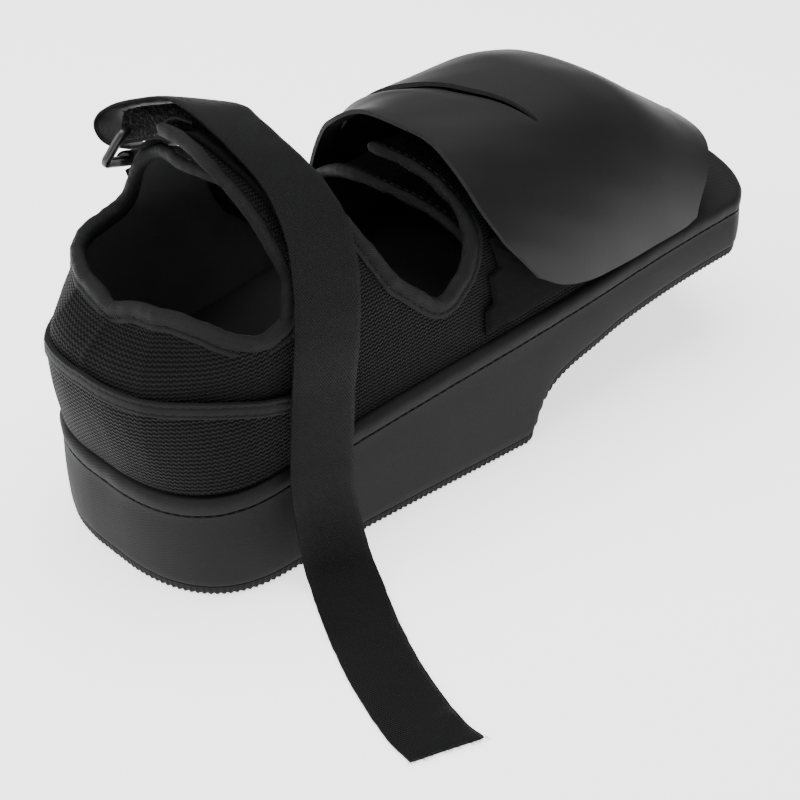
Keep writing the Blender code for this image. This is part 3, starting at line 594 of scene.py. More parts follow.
# Upper: one padded wall of air mesh over thin foam, lined with smooth tricot, cut open at the
# collar, the instep and the toe, with an ankle flap and a forefoot flap on each side that cross
# over the foot. Its shape is a chart of the last: a run along the footbed's edge and a turn over
# the foot, from the footbed at 0 over the crown at 1 to the other side at 2.
LAST = {
    "run": (0, 40, 70, 84, 116, 138, 172, 205, 222, 244, 270),
    "crown_x": (40, 40, 39, 37, 64, 92, 137, 172, 195, 234, 272),
    "crown_z": (146, 146, 145, 141, 131, 121, 106, 109, 109, 96, 80),
    "near": (2.8, 2.7, 2.5, 2.15, 2.15, 2.2, 2.5, 2.6, 2.6, 2.5, 2.3),
    "far": (2.8, 2.6, 2.5, 2.6, 2.6, 2.6, 2.6, 2.6, 2.6, 2.5, 2.3),
    "drop": (0, 2, 9, 15, 16, 15, 13, 12, 10, 7, 5.5),
    "bow": (1, 1, 1.2, 1.5, 1.5, 1.6, 2.0, 2.4, 2.5, 2.5, 2.5),
}
COLLAR_RIM = {
    "share": (0, 0.16, 0.34, 0.50, 0.60, 0.76, 0.88, 0.95, 1.0),
    "near_z": (89, 93, 93, 90, 86, 82, 84, 89, 97),
    "far_z": (89, 91, 92, 92, 92, 94, 98, 103, 110),
}
INSTEP_RIM = {
    "share": (0, 0.2, 0.4, 0.6, 0.8, 1.0),
    "z": (82, 74, 69, 67, 68, 74),
}
FLAP_EDGES = {
    "turn": (0.0, 0.12, 0.2, 0.3, 0.42, 0.55, 0.8, 1.1, 1.6),
    "near_rear": (88, 88, 88, 88, 88, 88, 88, 88, 88),
    "far_rear": (84, 84, 84, 84, 84, 84, 86, 91, 93),
    "ankle_front": (121, 121, 120, 117, 113, 111, 110, 110, 110),
    "fore_rear": (146, 147, 151, 158, 163, 165, 166, 166, 166),
}
TOE_RUN = 266.0
REACH = 2.6
FLAP_ENDS = {"near": {"ankle": 1.07, "fore": 1.06}, "far": {"ankle": 1.22, "fore": 1.52}}
HEEL_ROUND, HEEL_BULGE = (40.0, 46.0), 6.0
EDGE_X, EDGE_W = offset_outline(*half_outline(60), EDGE_INSET)
EDGE_RUN = EDGE_W[0] + lengths(np.stack([EDGE_X, EDGE_W], 1))


def last_point(run, turn, side):
    """Point of the last: a squared arch from the footbed's edge to the crown, across as a power of
    cos and up as a power of sin of the turn, drawn in to a round plan at the heel."""
    start = np.clip(run / EDGE_W[0], 0, 1)
    base_x = np.where(run < EDGE_W[0], EDGE_X[0], np.interp(run, EDGE_RUN, EDGE_X))
    base_w = np.where(run < EDGE_W[0], EDGE_W[0] * start, np.interp(run, EDGE_RUN, EDGE_W))
    crown_x = curve(LAST, "crown_x", run)
    far = (1 + side) / 2
    square = curve(LAST, "near", run) * (1 - far) + curve(LAST, "far", run) * far
    base_z = bed(base_x) + GAP
    crown_z = curve(LAST, "crown_z", run) - far * curve(LAST, "drop", run)
    angle = np.clip(turn, 0, 2) * np.pi / 2
    cos, sin = np.cos(angle), np.abs(np.sin(angle))
    across = np.abs(cos) ** (2 / square)
    rise = sin ** (2 / square)
    x = crown_x + (base_x - crown_x) * across ** curve(LAST, "bow", run)
    y = side * base_w * across * np.sign(cos)
    z = base_z + (crown_z - base_z) * rise
    heel = 1 - ease((run - 25) / 60)
    reach = np.maximum(np.hypot(base_x - 40, base_w), 1)
    round_reach = 1 / np.hypot((base_x - 40) / reach / HEEL_ROUND[0], base_w / reach / HEEL_ROUND[1])
    pull = heel * ease(rise / 0.3) * np.minimum(round_reach / reach - 1, 0) * (cos > 0)
    bulge = HEEL_BULGE * (1 - ease(run / 60)) * np.sin(np.pi * np.clip(rise / 0.62, 0, 1))
    x = x + (base_x - 40) * (pull + bulge / reach)
    y = y + side * base_w * (pull + bulge * (cos > 0) / reach)
    return np.stack([x, y, z], -1)


def last_normal(run, turn, side):
    """Outward unit normal of the last, from steps along both ways of the chart."""
    back = np.where((run < 1.2)[..., None], last_point(np.abs(run - 1.2), turn, -side),
                    last_point(np.abs(run - 1.2), turn, side))
    along = last_point(run + 1.2, turn, side) - back
    rise = last_point(run, np.maximum(turn, 0.03) + 0.02, side) - last_point(
        run, np.maximum(turn - 0.02, 0.012), side)
    n = np.cross(along, rise) * -np.asarray(side)[..., None]
    return n / np.linalg.norm(n, axis=-1, keepdims=True)


def last(run, turn, side, lift=0.0):
    """Point of the last moved out along its normal by lift."""
    run, turn, side = np.broadcast_arrays(np.asarray(run, float), np.asarray(turn, float), side)
    lift = np.broadcast_to(lift, run.shape)
    return last_point(run, turn, side) + lift[..., None] * last_normal(run, turn, side)


def turn_at(run, z, side):
    """Turn at which the last reaches a height."""
    far = (1 + side) / 2
    square = curve(LAST, "near", run) * (1 - far) + curve(LAST, "far", run) * far
    base_z = bed(np.interp(run, EDGE_RUN, EDGE_X)) + GAP
    crown_z = curve(LAST, "crown_z", run) - far * curve(LAST, "drop", run)
    share = np.clip((z - base_z) / (crown_z - base_z), 0, 1)
    return np.arcsin(share ** (square / 2)) * 2 / np.pi


LOW_ROWS, HIGH_ROWS = 26, 46
ZONES = {"heel": 90, "ankle": 22, "instep": 34, "fore": 76}


def half_wall(name):
    """Runs, turns and kept cells of one side of the wall, from the heel's middle to the toe: low
    rows up to the band's rim, high rows on over the flaps, whose edges lean as the table says."""
    side = -1.0 if name == "near" else 1.0
    rear = float(curve(FLAP_EDGES, name + "_rear", 0.0)) - REACH
    spans = {"ankle": (rear, 123), "instep": (123, 148), "fore": (148, TOE_RUN)}
    runs, turns, cells = [], [], []
    for zone, count in ZONES.items():
        shares = np.linspace(0, 1, count + 1)
        if zone != "heel":
            shares = shares[1:]
        if zone == "heel":
            rim = curve(COLLAR_RIM, name + "_z", shares) + REACH
        elif zone == "ankle":
            ends = (COLLAR_RIM[name + "_z"][-1] + REACH, INSTEP_RIM["z"][0] + REACH)
            rim = np.interp(shares, (0, 1), ends)
        elif zone == "instep":
            rim = curve(INSTEP_RIM, "z", shares) + REACH
        else:
            rim = np.interp(shares, (0, 1), (INSTEP_RIM["z"][-1] + REACH, 66))
        nominal = shares * rear if zone == "heel" else np.interp(shares, (0, 1), spans[zone])
        low = turn_at(nominal, rim, side)[:, None]
        forward = (zone == "fore") | ((zone == "instep") & (shares > 0.5))
        end = np.where(forward, FLAP_ENDS[name]["fore"], FLAP_ENDS[name]["ankle"])[:, None]
        turn = np.concatenate([low * np.linspace(0, 1, LOW_ROWS + 1),
                               low + (end - low) * np.linspace(0, 1, HIGH_ROWS + 1)[1:]], 1)
        front = curve(FLAP_EDGES, "ankle_front", turn) + REACH
        fore = curve(FLAP_EDGES, "fore_rear", turn) - REACH
        behind = curve(FLAP_EDGES, name + "_rear", turn) - REACH
        share = shares[:, None]
        if zone == "heel":
            run = nominal[:, None] + share ** 4 * (behind - rear)
        elif zone == "ankle":
            run = behind + (front - behind) * share
        elif zone == "instep":
            run = front + (fore - front) * share
        else:
            run = fore + (TOE_RUN - fore) * share
        runs.append(run)
        turns.append(turn)
        cells.append(np.full(len(shares), zone in ("ankle", "fore")))
    return np.concatenate(runs), np.concatenate(turns), np.concatenate(cells)[1:]


def cloth_lift(run, turn, side, z):
    """How far the padded mesh stands off the last: a pad's swell between the collar and the
    counter, a raised back seam, soft creases that fan from the flap's root, and a fine quiver."""
    heel = 1 - ease((run - 60) / 30)
    swell = 0.9 * heel * bump(z, 80, 6.5)
    seam = 0.8 * bump(run, 0, 1.3) * bump(z, 80, 9)
    sag = -0.9 * bump(z - 66 + 0.22 * run, 6, 2.2) * bump(run, 38, 26) * (side < 0)
    fold = -0.8 * bump(z - 74 + 0.12 * run, 0, 1.8) * bump(run, 55, 22) * (side < 0)
    fan = 0.7 * np.sin((run - 84) / 2.6 + (z - 60) / 9.0) * bump(run, 90, 11) * bump(z, 66, 14)
    front = -0.6 * bump(run - 160 + 0.5 * (z - 60), 0, 3.0) * bump(z, 62, 9)
    quiver = 0.16 * hash_wave(run / 7.0 + z / 11.0, 5) + 0.12 * hash_wave(z / 6.0 - run / 15.0, 9)
    top = 0.35 * hash_wave(run / 9.0 + turn * 5.0, 12) * ease((turn - 0.5) / 0.3)
    edge = ease((z - bed(run - 32)) / 3.0)
    return (swell + seam + sag + fold + fan + front + quiver + top) * edge


near_run, near_turn, near_cells = half_wall("near")
far_run, far_turn, far_cells = half_wall("far")
RUN = np.concatenate([near_run[::-1], far_run[1:]])
TURN = np.concatenate([near_turn[::-1], far_turn[1:]])
SIDE = np.concatenate([-np.ones(near_run.shape), np.ones((len(far_run) - 1, far_run.shape[1]))])
CELLS = np.zeros((len(RUN) - 1, RUN.shape[1] - 1), bool)
CELLS[:, :LOW_ROWS] = True
CELLS[np.concatenate([near_cells[::-1], far_cells]), LOW_ROWS:] = True


def flap_raise(run, turn, side):
    """Shape beyond the last's chart: the left ankle flap rises to lie close under the right one,
    whose end stands up to the strap, and the heel's top draws in under the collar."""
    rear = 1 - ease((run - 114) / 14)
    flap = np.where(side > 0, 7.5 * ease((turn - 0.45) / 0.4), 2.0 * ease((turn - 0.74) / 0.25))
    z = last_point(run, turn, side)[..., 2]
    return rear * flap - 8.5 * ease((z - 73) / 20) * (1 - ease((run - 8) / 52))


flat_wall = last(RUN, TURN, SIDE)
SHAPE = flap_raise(RUN, TURN, SIDE)
OUTER = last(RUN, TURN, SIDE, SHAPE + cloth_lift(RUN, TURN, SIDE, flat_wall[..., 2]))
seam = 0.7 * bump(RUN, 24, 1.1) * (SIDE > 0) + 0.5 * bump(RUN, 60, 1.1) * (SIDE < 0)
INNER = last(RUN, TURN, SIDE, SHAPE - WALL + 0.5 + seam + 0.25 * hash_wave(RUN / 8.0 + TURN * 7.0, 4))
INNER[:, 0, 2] = bed(INNER[:, 0, 0]) + GAP
across = np.cumsum(np.linalg.norm(np.diff(flat_wall, axis=1), axis=2), axis=1)
CLIMB = np.concatenate([np.zeros((len(RUN), 1)), across], 1)
cloth_uv = np.stack([RUN * SIDE, CLIMB], -1)


def air_mesh(name, row=1.36, stitch=1.85, lean=0.0):
    """Knitted air mesh: rows of zigzag yarn with eyelets between them. A row is a cosine across the row's pitch,
    shifted up and down by the zigzag, and the yarn swells at each bend. The colour follows the height: the
    eyelets and the low places between the yarns carry painted shade."""
    cloth = Finish(name, (0.018, 0.018, 0.019), 0.7)
    u, v = cloth.uv()
    zig = (u / stitch).tri()
    line = v / row + zig * 0.42 + u * lean
    yarn = line.wave()
    bend = (u / stitch * 2).wave()
    plait = (line * 3.0 + u / stitch * 2.0).wave()
    height = yarn * 0.75 + bend * yarn * 0.3 + plait * 0.12
    tone = cloth.noise(55.0, 3.0)
    # Painted shade: the colour runs from near black in the eyelets and between the yarn rows up to the yarn's own tone
    # on its crests.
    cloth.paint(height.step(0.15, 1.0) * (tone * 0.6 + 0.7), (0.0003, 0.0003, 0.0004), (0.0088, 0.0088, 0.0093))
    cloth.rough(yarn, 0.85, 0.50)
    cloth.relief(height, 0.9)
    return cloth


mesh_cloth = air_mesh("air_mesh")
tricot = Finish("lining_tricot", (0.012, 0.012, 0.013), 0.75)
u, v = tricot.uv()
ladder = (u / 0.7).wave() * (v / 0.9).wave()
cloud = tricot.noise(40.0, 3.0)
tricot.paint(ladder * 0.3 + cloud * 0.7, (0.022, 0.022, 0.0232), (0.050, 0.050, 0.0520))
tricot.relief(ladder * 0.3 + cloud, 0.12)
upper = shell("mesh_upper", OUTER, INNER, [mesh_cloth, tricot, mesh_cloth], cloth_uv, CELLS)
fit(upper, "upper_mesh", "upper")

# Heel counter: a second layer of the same mesh, moulded round the heel, sewn into the lip below and
# finished along its top with a flat twill tape that two rows of stitches hold.
COUNTER_TOP = {"share": (0, 0.3, 0.55, 0.8, 1.0), "z": (74, 72.5, 71, 66, 62)}
COUNTER_END, OVERLAY_THICK = 84.0, 1.5
share = np.linspace(-1, 1, 241)
counter_run = np.abs(share)[:, None] * COUNTER_END
counter_side = np.where(share <= 0, -1.0, 1.0)[:, None]
top_turn = turn_at(counter_run, curve(COUNTER_TOP, "z", np.abs(share))[:, None], counter_side)
level = np.linspace(0.012, 1.0, 44)
grid = (counter_run + 0 * level, top_turn * level, counter_side + 0 * level)
quiver = 0.12 * hash_wave(grid[0] / 6.0 + level * 4.0, 21) * np.sin(np.pi * level)
counter_in = last(*grid, GAP)
counter_out = last(*grid, GAP + OVERLAY_THICK + quiver)
counter_out[:, 0, 2] = counter_in[:, 0, 2]
climb = np.concatenate([np.zeros((241, 1)), np.cumsum(np.linalg.norm(np.diff(counter_in, axis=1), axis=2), 1)], 1)
counter_mesh = air_mesh("counter_mesh", 1.42, 1.75)
fit(shell("heel_counter_mesh", counter_out, counter_in, [counter_mesh],
          np.stack([grid[0] * grid[2], climb], -1)), "upper_mesh", "heel_counter")


def strip(name, path, normal, profile, finish, squeeze=None, ends=True):
    """Profile carried along a path: each profile point is (out of the edge, off the cloth) in the
    frame of the path's cross direction and its normal; its ring closes on itself."""
    ahead = np.gradient(path, axis=0)
    ahead /= np.linalg.norm(ahead, axis=1, keepdims=True)
    out = np.cross(ahead, normal)
    out /= np.linalg.norm(out, axis=1, keepdims=True)
    normal = np.cross(out, ahead)
    profile = np.asarray(profile, float)
    a = profile[None, :, 0] + np.zeros((len(path), 1))
    b = profile[None, :, 1] + np.zeros((len(path), 1))
    if squeeze is not None:
        a, b = squeeze(lengths(path)[:, None], a, b)
    verts = path[:, None] + out[:, None] * a[..., None] + normal[:, None] * b[..., None]
    n, m = verts.shape[:2]
    i, k = np.meshgrid(np.arange(n - 1), np.arange(m), indexing="ij")
    q = (k + 1) % m
    quads = np.stack([i * m + k, (i + 1) * m + k, (i + 1) * m + q, i * m + q], -1).reshape(-1, 4)
    around = lengths(np.concatenate([profile, profile[:1]]))
    uv = np.stack([lengths(path)[:, None] + np.zeros((1, m)), around[None, :-1] + np.zeros((n, 1))], -1)
    centre = verts[[0, -1]].mean(1)
    verts = np.concatenate([verts.reshape(-1, 3), centre])
    uv = np.concatenate([uv.reshape(-1, 2), [[0, 0], [0, 0]]])
    k = np.arange(m)
    q = (k + 1) % m
    caps = np.concatenate([np.stack([k, q, 0 * k + n * m], 1),
                           np.stack([(n - 1) * m + q, (n - 1) * m + k, 0 * k + n * m + 1], 1)])
    return make_piece(name, verts, [quads, caps], [finish], uv=uv, wrap=(1e9, around[-1]))


def twill(name, colour, pitch=0.75, cloudy=0.3):
    """Twill tape: fine diagonal ribs crossed by a faint filling, with a soft sheen on the ribs."""
    tape = Finish(name, colour, 0.5)
    u, v = tape.uv()
    rib_line = ((u * 0.8 + v) / pitch).wave()
    cross = ((u * 0.5 - v) / (pitch * 0.8)).wave()
    cloud = tape.noise(70.0, 3.0)
    low = tuple(0.45 * c for c in colour)
    high = tuple(1.35 * c for c in colour)
    tape.paint(rib_line * 0.55 + cross * 0.15 + cloud * cloudy, low, high)
    tape.rough(rib_line, 0.62, 0.42)
    tape.relief(rib_line * 0.7 + cross * 0.3, 0.16)
    return tape


tape_twill = twill("binding_twill", (0.0085, 0.0085, 0.0091))
at = np.linspace(-1, 1, 401)
run = np.abs(at) * COUNTER_END
side = np.where(at <= 0, -1.0, 1.0)
turn = turn_at(run, curve(COUNTER_TOP, "z", np.abs(at)) + 0.4, side)
path, normal = last(run, turn, side), last_normal(run, turn, side)
tape_profile = [(0.3, 0.4), (0.5, 1.9), (0.3, 2.35), (-0.4, 2.45), (-0.9, 2.15), (-1.4, 2.4), (-3.0, 2.45),
                (-3.5, 2.15), (-4.0, 2.4), (-4.5, 2.35), (-4.8, 1.95), (-4.8, 1.2), (-2.0, 0.6)]


def pucker(run, a, b):
    """Tape and binding pulled by their stitches: the face dips and swells every few millimetres."""
    wave = 0.16 * np.sin(run * 2 * np.pi / 3.4) + 0.2 * hash_wave(run / 4.0, 31)
    return a + 0.12 * hash_wave(run / 5.0, 33), b * (1 + 0.06 * wave)


fit(strip("counter_tape", path, normal, tape_profile, tape_twill, pucker), "binding_twill")
for row_name, drop in (("counter_stitches_high", 0.9), ("counter_stitches_low", 3.5)):
    turn_row = turn_at(run, curve(COUNTER_TOP, "z", np.abs(at)) + 0.4 - drop, side)
    line = last(run, turn_row, side, 2.35)
    stitches(row_name, line, last_normal(run, turn_row, side), thread, 2.3, 0.9, 0.5)

# Bindings: twill tape folded over a soft cord and sewn round every raw edge of the wall; the fold
# stands fat above the edge, and a row of stitches pinches its outer leaf against the mesh.
BEAD = [(-2.8, 0.2), (-2.7, 0.85), (-2.1, 1.1), (-1.3, 0.95), (-0.75, 0.55), (-0.2, 1.0), (0.8, 1.6), (2.2, 1.85),
        (3.5, 1.4), (4.4, 0.3), (4.75, -1.1), (4.5, -2.7), (3.6, -4.0), (2.0, -4.7), (0.4, -4.7), (-0.9, -4.3),
        (-1.6, -3.9), (-1.6, -2.6), (-1.4, -1.0)]


def wall_edge(name, column, upward=True):
    """Nodes up one edge of a flap, from the band's rim to the flap's end."""
    side = -1.0 if name == "near" else 1.0
    run, turn = (near_run, near_turn) if name == "near" else (far_run, far_turn)
    nodes = np.stack([run[column, LOW_ROWS:], turn[column, LOW_ROWS:], side + 0 * run[column, LOW_ROWS:]], 1)
    return nodes if upward else nodes[::-1]


def rim_edge(name, first, last_column):
    """Nodes along the top of the low band between two columns."""
    side = -1.0 if name == "near" else 1.0
    run, turn = (near_run, near_turn) if name == "near" else (far_run, far_turn)
    way = np.arange(first, last_column + 1) if last_column >= first else np.arange(first, last_column - 1, -1)
    return np.stack([run[way, LOW_ROWS], turn[way, LOW_ROWS], side + 0 * run[way, LOW_ROWS]], 1)


def edge_line(nodes, count):
    """Even points and wall normals along an edge given as chart nodes."""
    both = np.concatenate([last(*nodes.T, flap_raise(*nodes.T)), last_normal(*nodes.T)], 1)
    both = even(both, count)
    soft = both.copy()
    for _ in range(6):
        soft[1:-1] = (soft[:-2] + 2 * soft[1:-1] + soft[2:]) / 4
    return soft[:, :3], soft[:, 3:] / np.linalg.norm(soft[:, 3:], axis=1, keepdims=True)


MIDDLE = -1.55


def gather(seed, share=1.0):
    """Gathered tape: slimmer up the flaps and drawn in at both ends, it bunches where the edge turns,
    in slanting tucks that fade to the stitches."""
    def squeeze(run, a, b):
        place = np.abs(2 * run / run.max() - 1)
        slim = (0.80 - 0.20 * ease((place - 0.45) / 0.12)) * (1 - 0.6 * ease((place - 0.975) / 0.025))
        a, b = a * (0.12 + slim), MIDDLE + (b - MIDDLE) * slim
        fat = ease((a + 1.5) / 5.0)
        tuck = np.sin(run * 1.15 + 1.6 * np.sin(run * 0.31 + seed) + b * 0.25) * 0.5
        slow = hash_wave(run / 6.0, seed)
        grow = share * fat * (0.10 * tuck + 0.24 * slow)
        return a + grow * (a > 1), b + grow * np.sign(b + 1.8) + 0.12 * hash_wave(run / 3.0, seed + 1)
    return squeeze


HEEL_END = ZONES["heel"]
FLAP_FRONT = HEEL_END + ZONES["ankle"]
FORE_REAR = FLAP_FRONT + ZONES["instep"]
collar = np.concatenate([wall_edge("near", HEEL_END, False), rim_edge("near", HEEL_END - 1, 0),
                         rim_edge("far", 1, HEEL_END), wall_edge("far", HEEL_END)[1:]])


def bind(name, nodes, count, seed, node, profile=BEAD, share=1.0, slot="binding_twill"):
    """Binding and its stitches along an edge of the wall."""
    path, normal = edge_line(nodes, count)
    piece = fit(strip(name, path, normal, profile, tape_twill, gather(seed, share)), slot, node)
    out = np.cross(np.gradient(path, axis=0), normal)
    out /= np.linalg.norm(out, axis=1, keepdims=True)
    scale = profile[4][0]
    line = path + out * scale + normal * (profile[4][1] * 0.8 - 0.2)
    stitches(name + "_stitches", line, normal, thread, 2.5, 1.0, 0.62)
    return piece


bind("collar_edge", collar, 520, 41, "collar_binding")
for name, hand, seed in (("near", "right", 51), ("far", "left", 61)):
    rim = np.concatenate([wall_edge(name, FORE_REAR, False), rim_edge(name, FORE_REAR - 1, FLAP_FRONT),
                          wall_edge(name, FLAP_FRONT)[1:]])
    if name == "far":
        rim = rim[::-1]
    bind("instep_edge_" + hand, rim, 330, seed, "instep_binding_" + hand)
THIN = [(a * 0.8, b * 0.8) for a, b in BEAD]
for name, hand, side, end, seed in (("near", "right", -1.0, 1.06, 71), ("far", "left", 1.0, 1.52, 81)):
    reach = np.linspace(0.24, end, 90)
    nodes = np.stack([np.full(90, TOE_RUN), reach, np.full(90, side)], 1)
    bind("toe_edge_" + hand, nodes if name == "near" else nodes[::-1], 160, seed,
         "toe_binding_" + hand, THIN, 0.7)

# Loop patches: short-cropped loop pile cut to shape, one on the right ankle flap under the strap and
# one on the right forefoot flap under the cover, whose rear edge is cut in steps.
pile = Finish("loop_pile", (0.006, 0.006, 0.0065), 0.95)
fuzz = pile.noise(1400.0, 3.0, 0.7)
rubbed = pile.noise(60.0, 4.0, 0.6)
pile.paint(fuzz * 0.55 + rubbed * 0.55, (0.0004, 0.0004, 0.0005), (0.0035, 0.0035, 0.0038))
pile.relief(fuzz * 0.6 + rubbed * 0.8, 0.9)
PATCH_REAR = {
    "turn": (0.03, 0.10, 0.12, 0.22, 0.24, 0.31, 0.37, 0.39, 0.46, 0.54, 0.62),
    "run": (154, 154, 158, 158, 163, 163, 163, 167, 170, 171, 172),
}
PATCH_THICK = 1.3


def patch(name, node, run, turn):
    """Pile patch on the near flap: a rounded pad whose edges come down to the mesh."""
    rows, cols = run.shape
    i, j = np.linspace(0, 1, rows)[:, None], np.linspace(0, 1, cols)[None, :]
    edge = np.minimum(np.minimum(i, 1 - i) * rows, np.minimum(j, 1 - j) * cols)
    crown = 0.55 + 0.45 * ease(edge / 3.0) + 0.12 * hash_wave(run / 1.7 + turn * 60, 8)
    shape = flap_raise(run, turn, -1.0)
    inner = last(run, turn, -1.0, shape + 0.25)
    outer = last(run, turn, -1.0, shape + 0.35 + PATCH_THICK * crown)
    fit(shell(name, outer[::-1], inner[::-1], [pile]), "loop_pile", node)


turn = np.linspace(0.40, 0.97, 90)[None, :] + np.zeros((44, 1))
front = curve(FLAP_EDGES, "ankle_front", turn) - 4.0
rear = 93.0 + 1.5 * ease((0.6 - turn) / 0.2)
patch("ankle_pile", "ankle_loop_patch", rear + np.linspace(0, 1, 44)[:, None] * (front - rear), turn)
turn = np.linspace(0.03, 0.62, 100)[None, :] + np.zeros((70, 1))
rear = np.interp(turn, PATCH_REAR["turn"], PATCH_REAR["run"])
patch("forefoot_pile", "forefoot_loop_patch", rear + np.linspace(0, 1, 70)[:, None] * (197 - rear), turn)

# Forefoot cover: one sheet of smooth coated cloth with a thin foam back, die cut with rounded
# corners and a slit across the crown, fixed on the left side and pressed onto the pile on the right.
COVER_STAND, COVER_THICK = 2.6, 1.8
COVER_CROWN = {
    "x": (95, 112, 130, 160, 190, 212, 240, 267, 285),
    "z": (121, 122, 120.5, 119.5, 119.5, 115.5, 99.5, 83, 74),
}
COVER_EDGES = {
    "turn": (0.0, 0.1, 0.2, 0.3, 0.5, 0.8, 1.0, 1.2, 1.5, 2.0),
    "rear": (156, 149, 141, 134, 128, 126, 122, 122, 127, 132),
    "slit": (180, 179, 178, 176, 173, 167, 160, 152, 147, 145),
    "toe": (231, 233, 237, 241, 249, 257, 260, 258, 250, 232),
}
COVER_HEM = {
    "share": (0, 0.08, 0.2, 0.4, 0.8, 0.93, 1.0),
    "lift": (16, 10, 6.5, 4.0, 2.0, 2.0, 4.0),
}
SLIT_TURN, SLIT_WIDTH = (0.68, 1.62), 4.2


def cover_point(x, turn, lift):
    """Point of the cover: a squared arch over the foot at station x, moved out by lift."""
    angle = np.clip(turn, 0, 2) * np.pi / 2
    base_w = np.interp(x, EDGE_X, EDGE_W) + COVER_STAND + COVER_THICK
    across = np.sign(np.cos(angle)) * np.abs(np.cos(angle)) ** (2 / 2.45)
    rise = np.abs(np.sin(angle)) ** (2 / 2.45)
    top = curve(COVER_CROWN, "z", x)
    return np.stack([x, -across * (base_w + lift), bed(x) + rise * (top - bed(x) + lift)], -1)


def cover_grid(lift, share, row):
    """The sheet from its rear edge at share 0 to its toe edge at 1, parted at 0.4 by the slit; row
    runs over the foot from the free hem to the fixed side."""
    hem = curve(COVER_HEM, "lift", share)[:, None]
    first = np.arcsin((hem / 62.0) ** (2.45 / 2)) * 2 / np.pi
    turn = first + (1.965 - first) * row[None, :]
    s = share[:, None]
    rear = curve(COVER_EDGES, "rear", turn)
    slit = curve(COVER_EDGES, "slit", turn)
    toe = curve(COVER_EDGES, "toe", turn)
    inside = np.clip((turn - SLIT_TURN[0]) / (SLIT_TURN[1] - SLIT_TURN[0]), 0, 1)
    half = SLIT_WIDTH / 2 * np.sin(np.pi * inside) ** 0.35
    x = np.where(s <= 0.4, rear + (slit - half - rear) * s / 0.4,
                 slit + half + (toe - slit - half) * (s - 0.4) / 0.6)
    ripple = 0.35 * np.sin(turn * 7.0 + s * 5.0) + 0.25 * hash_wave(turn * 9.0 + s * 8.0, 15)
    curl = 1.6 * ease(1 - s / 0.12) * ease((turn - 0.9) / 0.5) - 0.5 * ease(1 - s / 0.1) * bump(turn, 0.45, 0.25)
    press = -0.5 * bump(s, 0.5, 0.25) * bump(turn, 0.35, 0.2)
    press = press - 6.0 * ease(1 - s / 0.4) * ease((turn - 0.95) / 0.35)
    press = press - 1.2 * (s <= 0.4) * bump(s, 0.4, 0.05) * np.sin(np.pi * inside)
    return cover_point(x, turn, lift + ripple + curl + press), turn, x


satin = Finish("coated_cover", (0.020, 0.020, 0.0215), 0.42, Specular_IOR_Level=0.16)
cloud = satin.noise(22.0, 4.0, 0.55)
speck = (0.02 - satin.cells(210.0)).step(0.0, 0.012)
satin.paint(cloud * 0.8 + speck * 1.5, (0.0038, 0.0038, 0.0042), (0.0068, 0.0068, 0.0073))
satin.rough(cloud + satin.noise(500.0) * 0.3, 0.36, 0.52)
satin.relief(satin.noise(1100.0, 2.0) * 0.35 + cloud * 1.2, 0.10)
# Painted highlight: the cut edge round the sheet and along the slit is coloured several times lighter than both faces,
# for the light caught along the edge.
cut_edge_highlight = Finish("cover_cut_edge", (0.05, 0.05, 0.052), 0.8)
cut_edge_highlight.paint(cut_edge_highlight.noise(800.0), (0.014, 0.014, 0.0145), (0.035, 0.035, 0.036))
fleece = Finish("cover_backing", (0.008, 0.008, 0.0085), 0.95)
fleece.paint(fleece.noise(900.0, 3.0), (0.003, 0.003, 0.003), (0.016, 0.016, 0.017))
fleece.relief(fleece.noise(1300.0, 2.0), 0.6)
share = np.unique(np.concatenate([np.linspace(0, 0.4, 40), [0.40001], np.linspace(0.4, 1, 64)[1:]]))
row = np.linspace(0, 1, 170)
outer, turn, at_x = cover_grid(0.0, share, row)
inner, _, _ = cover_grid(-COVER_THICK + 0.2, share, row)
cells = np.ones((len(share) - 1, len(row) - 1), bool)
gap_row = 39
middle_turn = (turn[gap_row, :-1] + turn[gap_row, 1:]) / 2
cells[gap_row, (middle_turn > SLIT_TURN[0]) & (middle_turn < SLIT_TURN[1])] = False
cover = shell("forefoot_cover_sheet", outer[::-1], inner[::-1], [satin, fleece, cut_edge_highlight], None, cells[::-1])
fit(cover, "cover_sheet", "forefoot_cover")

# Ankle strap: 25 mm polyester twill tape that is sewn to the right side, climbs over the ankle
# flap, turns back through a flat ring on the left flap and is left open: its cut end lies on the
# floor, a little frayed. A strip of hook tape is sewn under its upper part.
STRAP_WIDTH, STRAP_THICK, STRAP_SLOPE = 24.5, 1.6, -22.0
STRAP_ON_FLAP = {
    "turn": (0.10, 0.22, 0.36, 0.50, 0.65, 0.80, 0.92, 1.02),
    "rear_run": (69, 73.5, 80, 87.5, 92, 93, 93, 93),
    "front_run": (91, 96, 104, 111.5, 116, 117, 117, 117),
    "rear_lift": (4.6, 4.2, 3.6, 3.2, 3.4, 4.5, 7.0, 9.2),
    "front_lift": (8.0, 8.5, 7.5, 6.5, 5.0, 5.5, 8.0, 10.0),
}
STRAP_TAIL = {
    "x": (17.8, 19.0, 25.5, 33.2, 40.0, 44.5, 46.0, 46.0, 45.5),
    "y": (-139.2, -128, -107, -89, -75.5, -66.5, -61.0, -57.5, -55.8),
    "z": (0.9, 0.9, 0.9, 0.9, 1.1, 2.6, 8.5, 22.0, 38.0),
    "swing": (-20, -24, -30, -32.5, -31, -27, -22, -16, -12),
    "tip": (0, 0, 0, 0, 0, 0, -6, -12, -16),
}
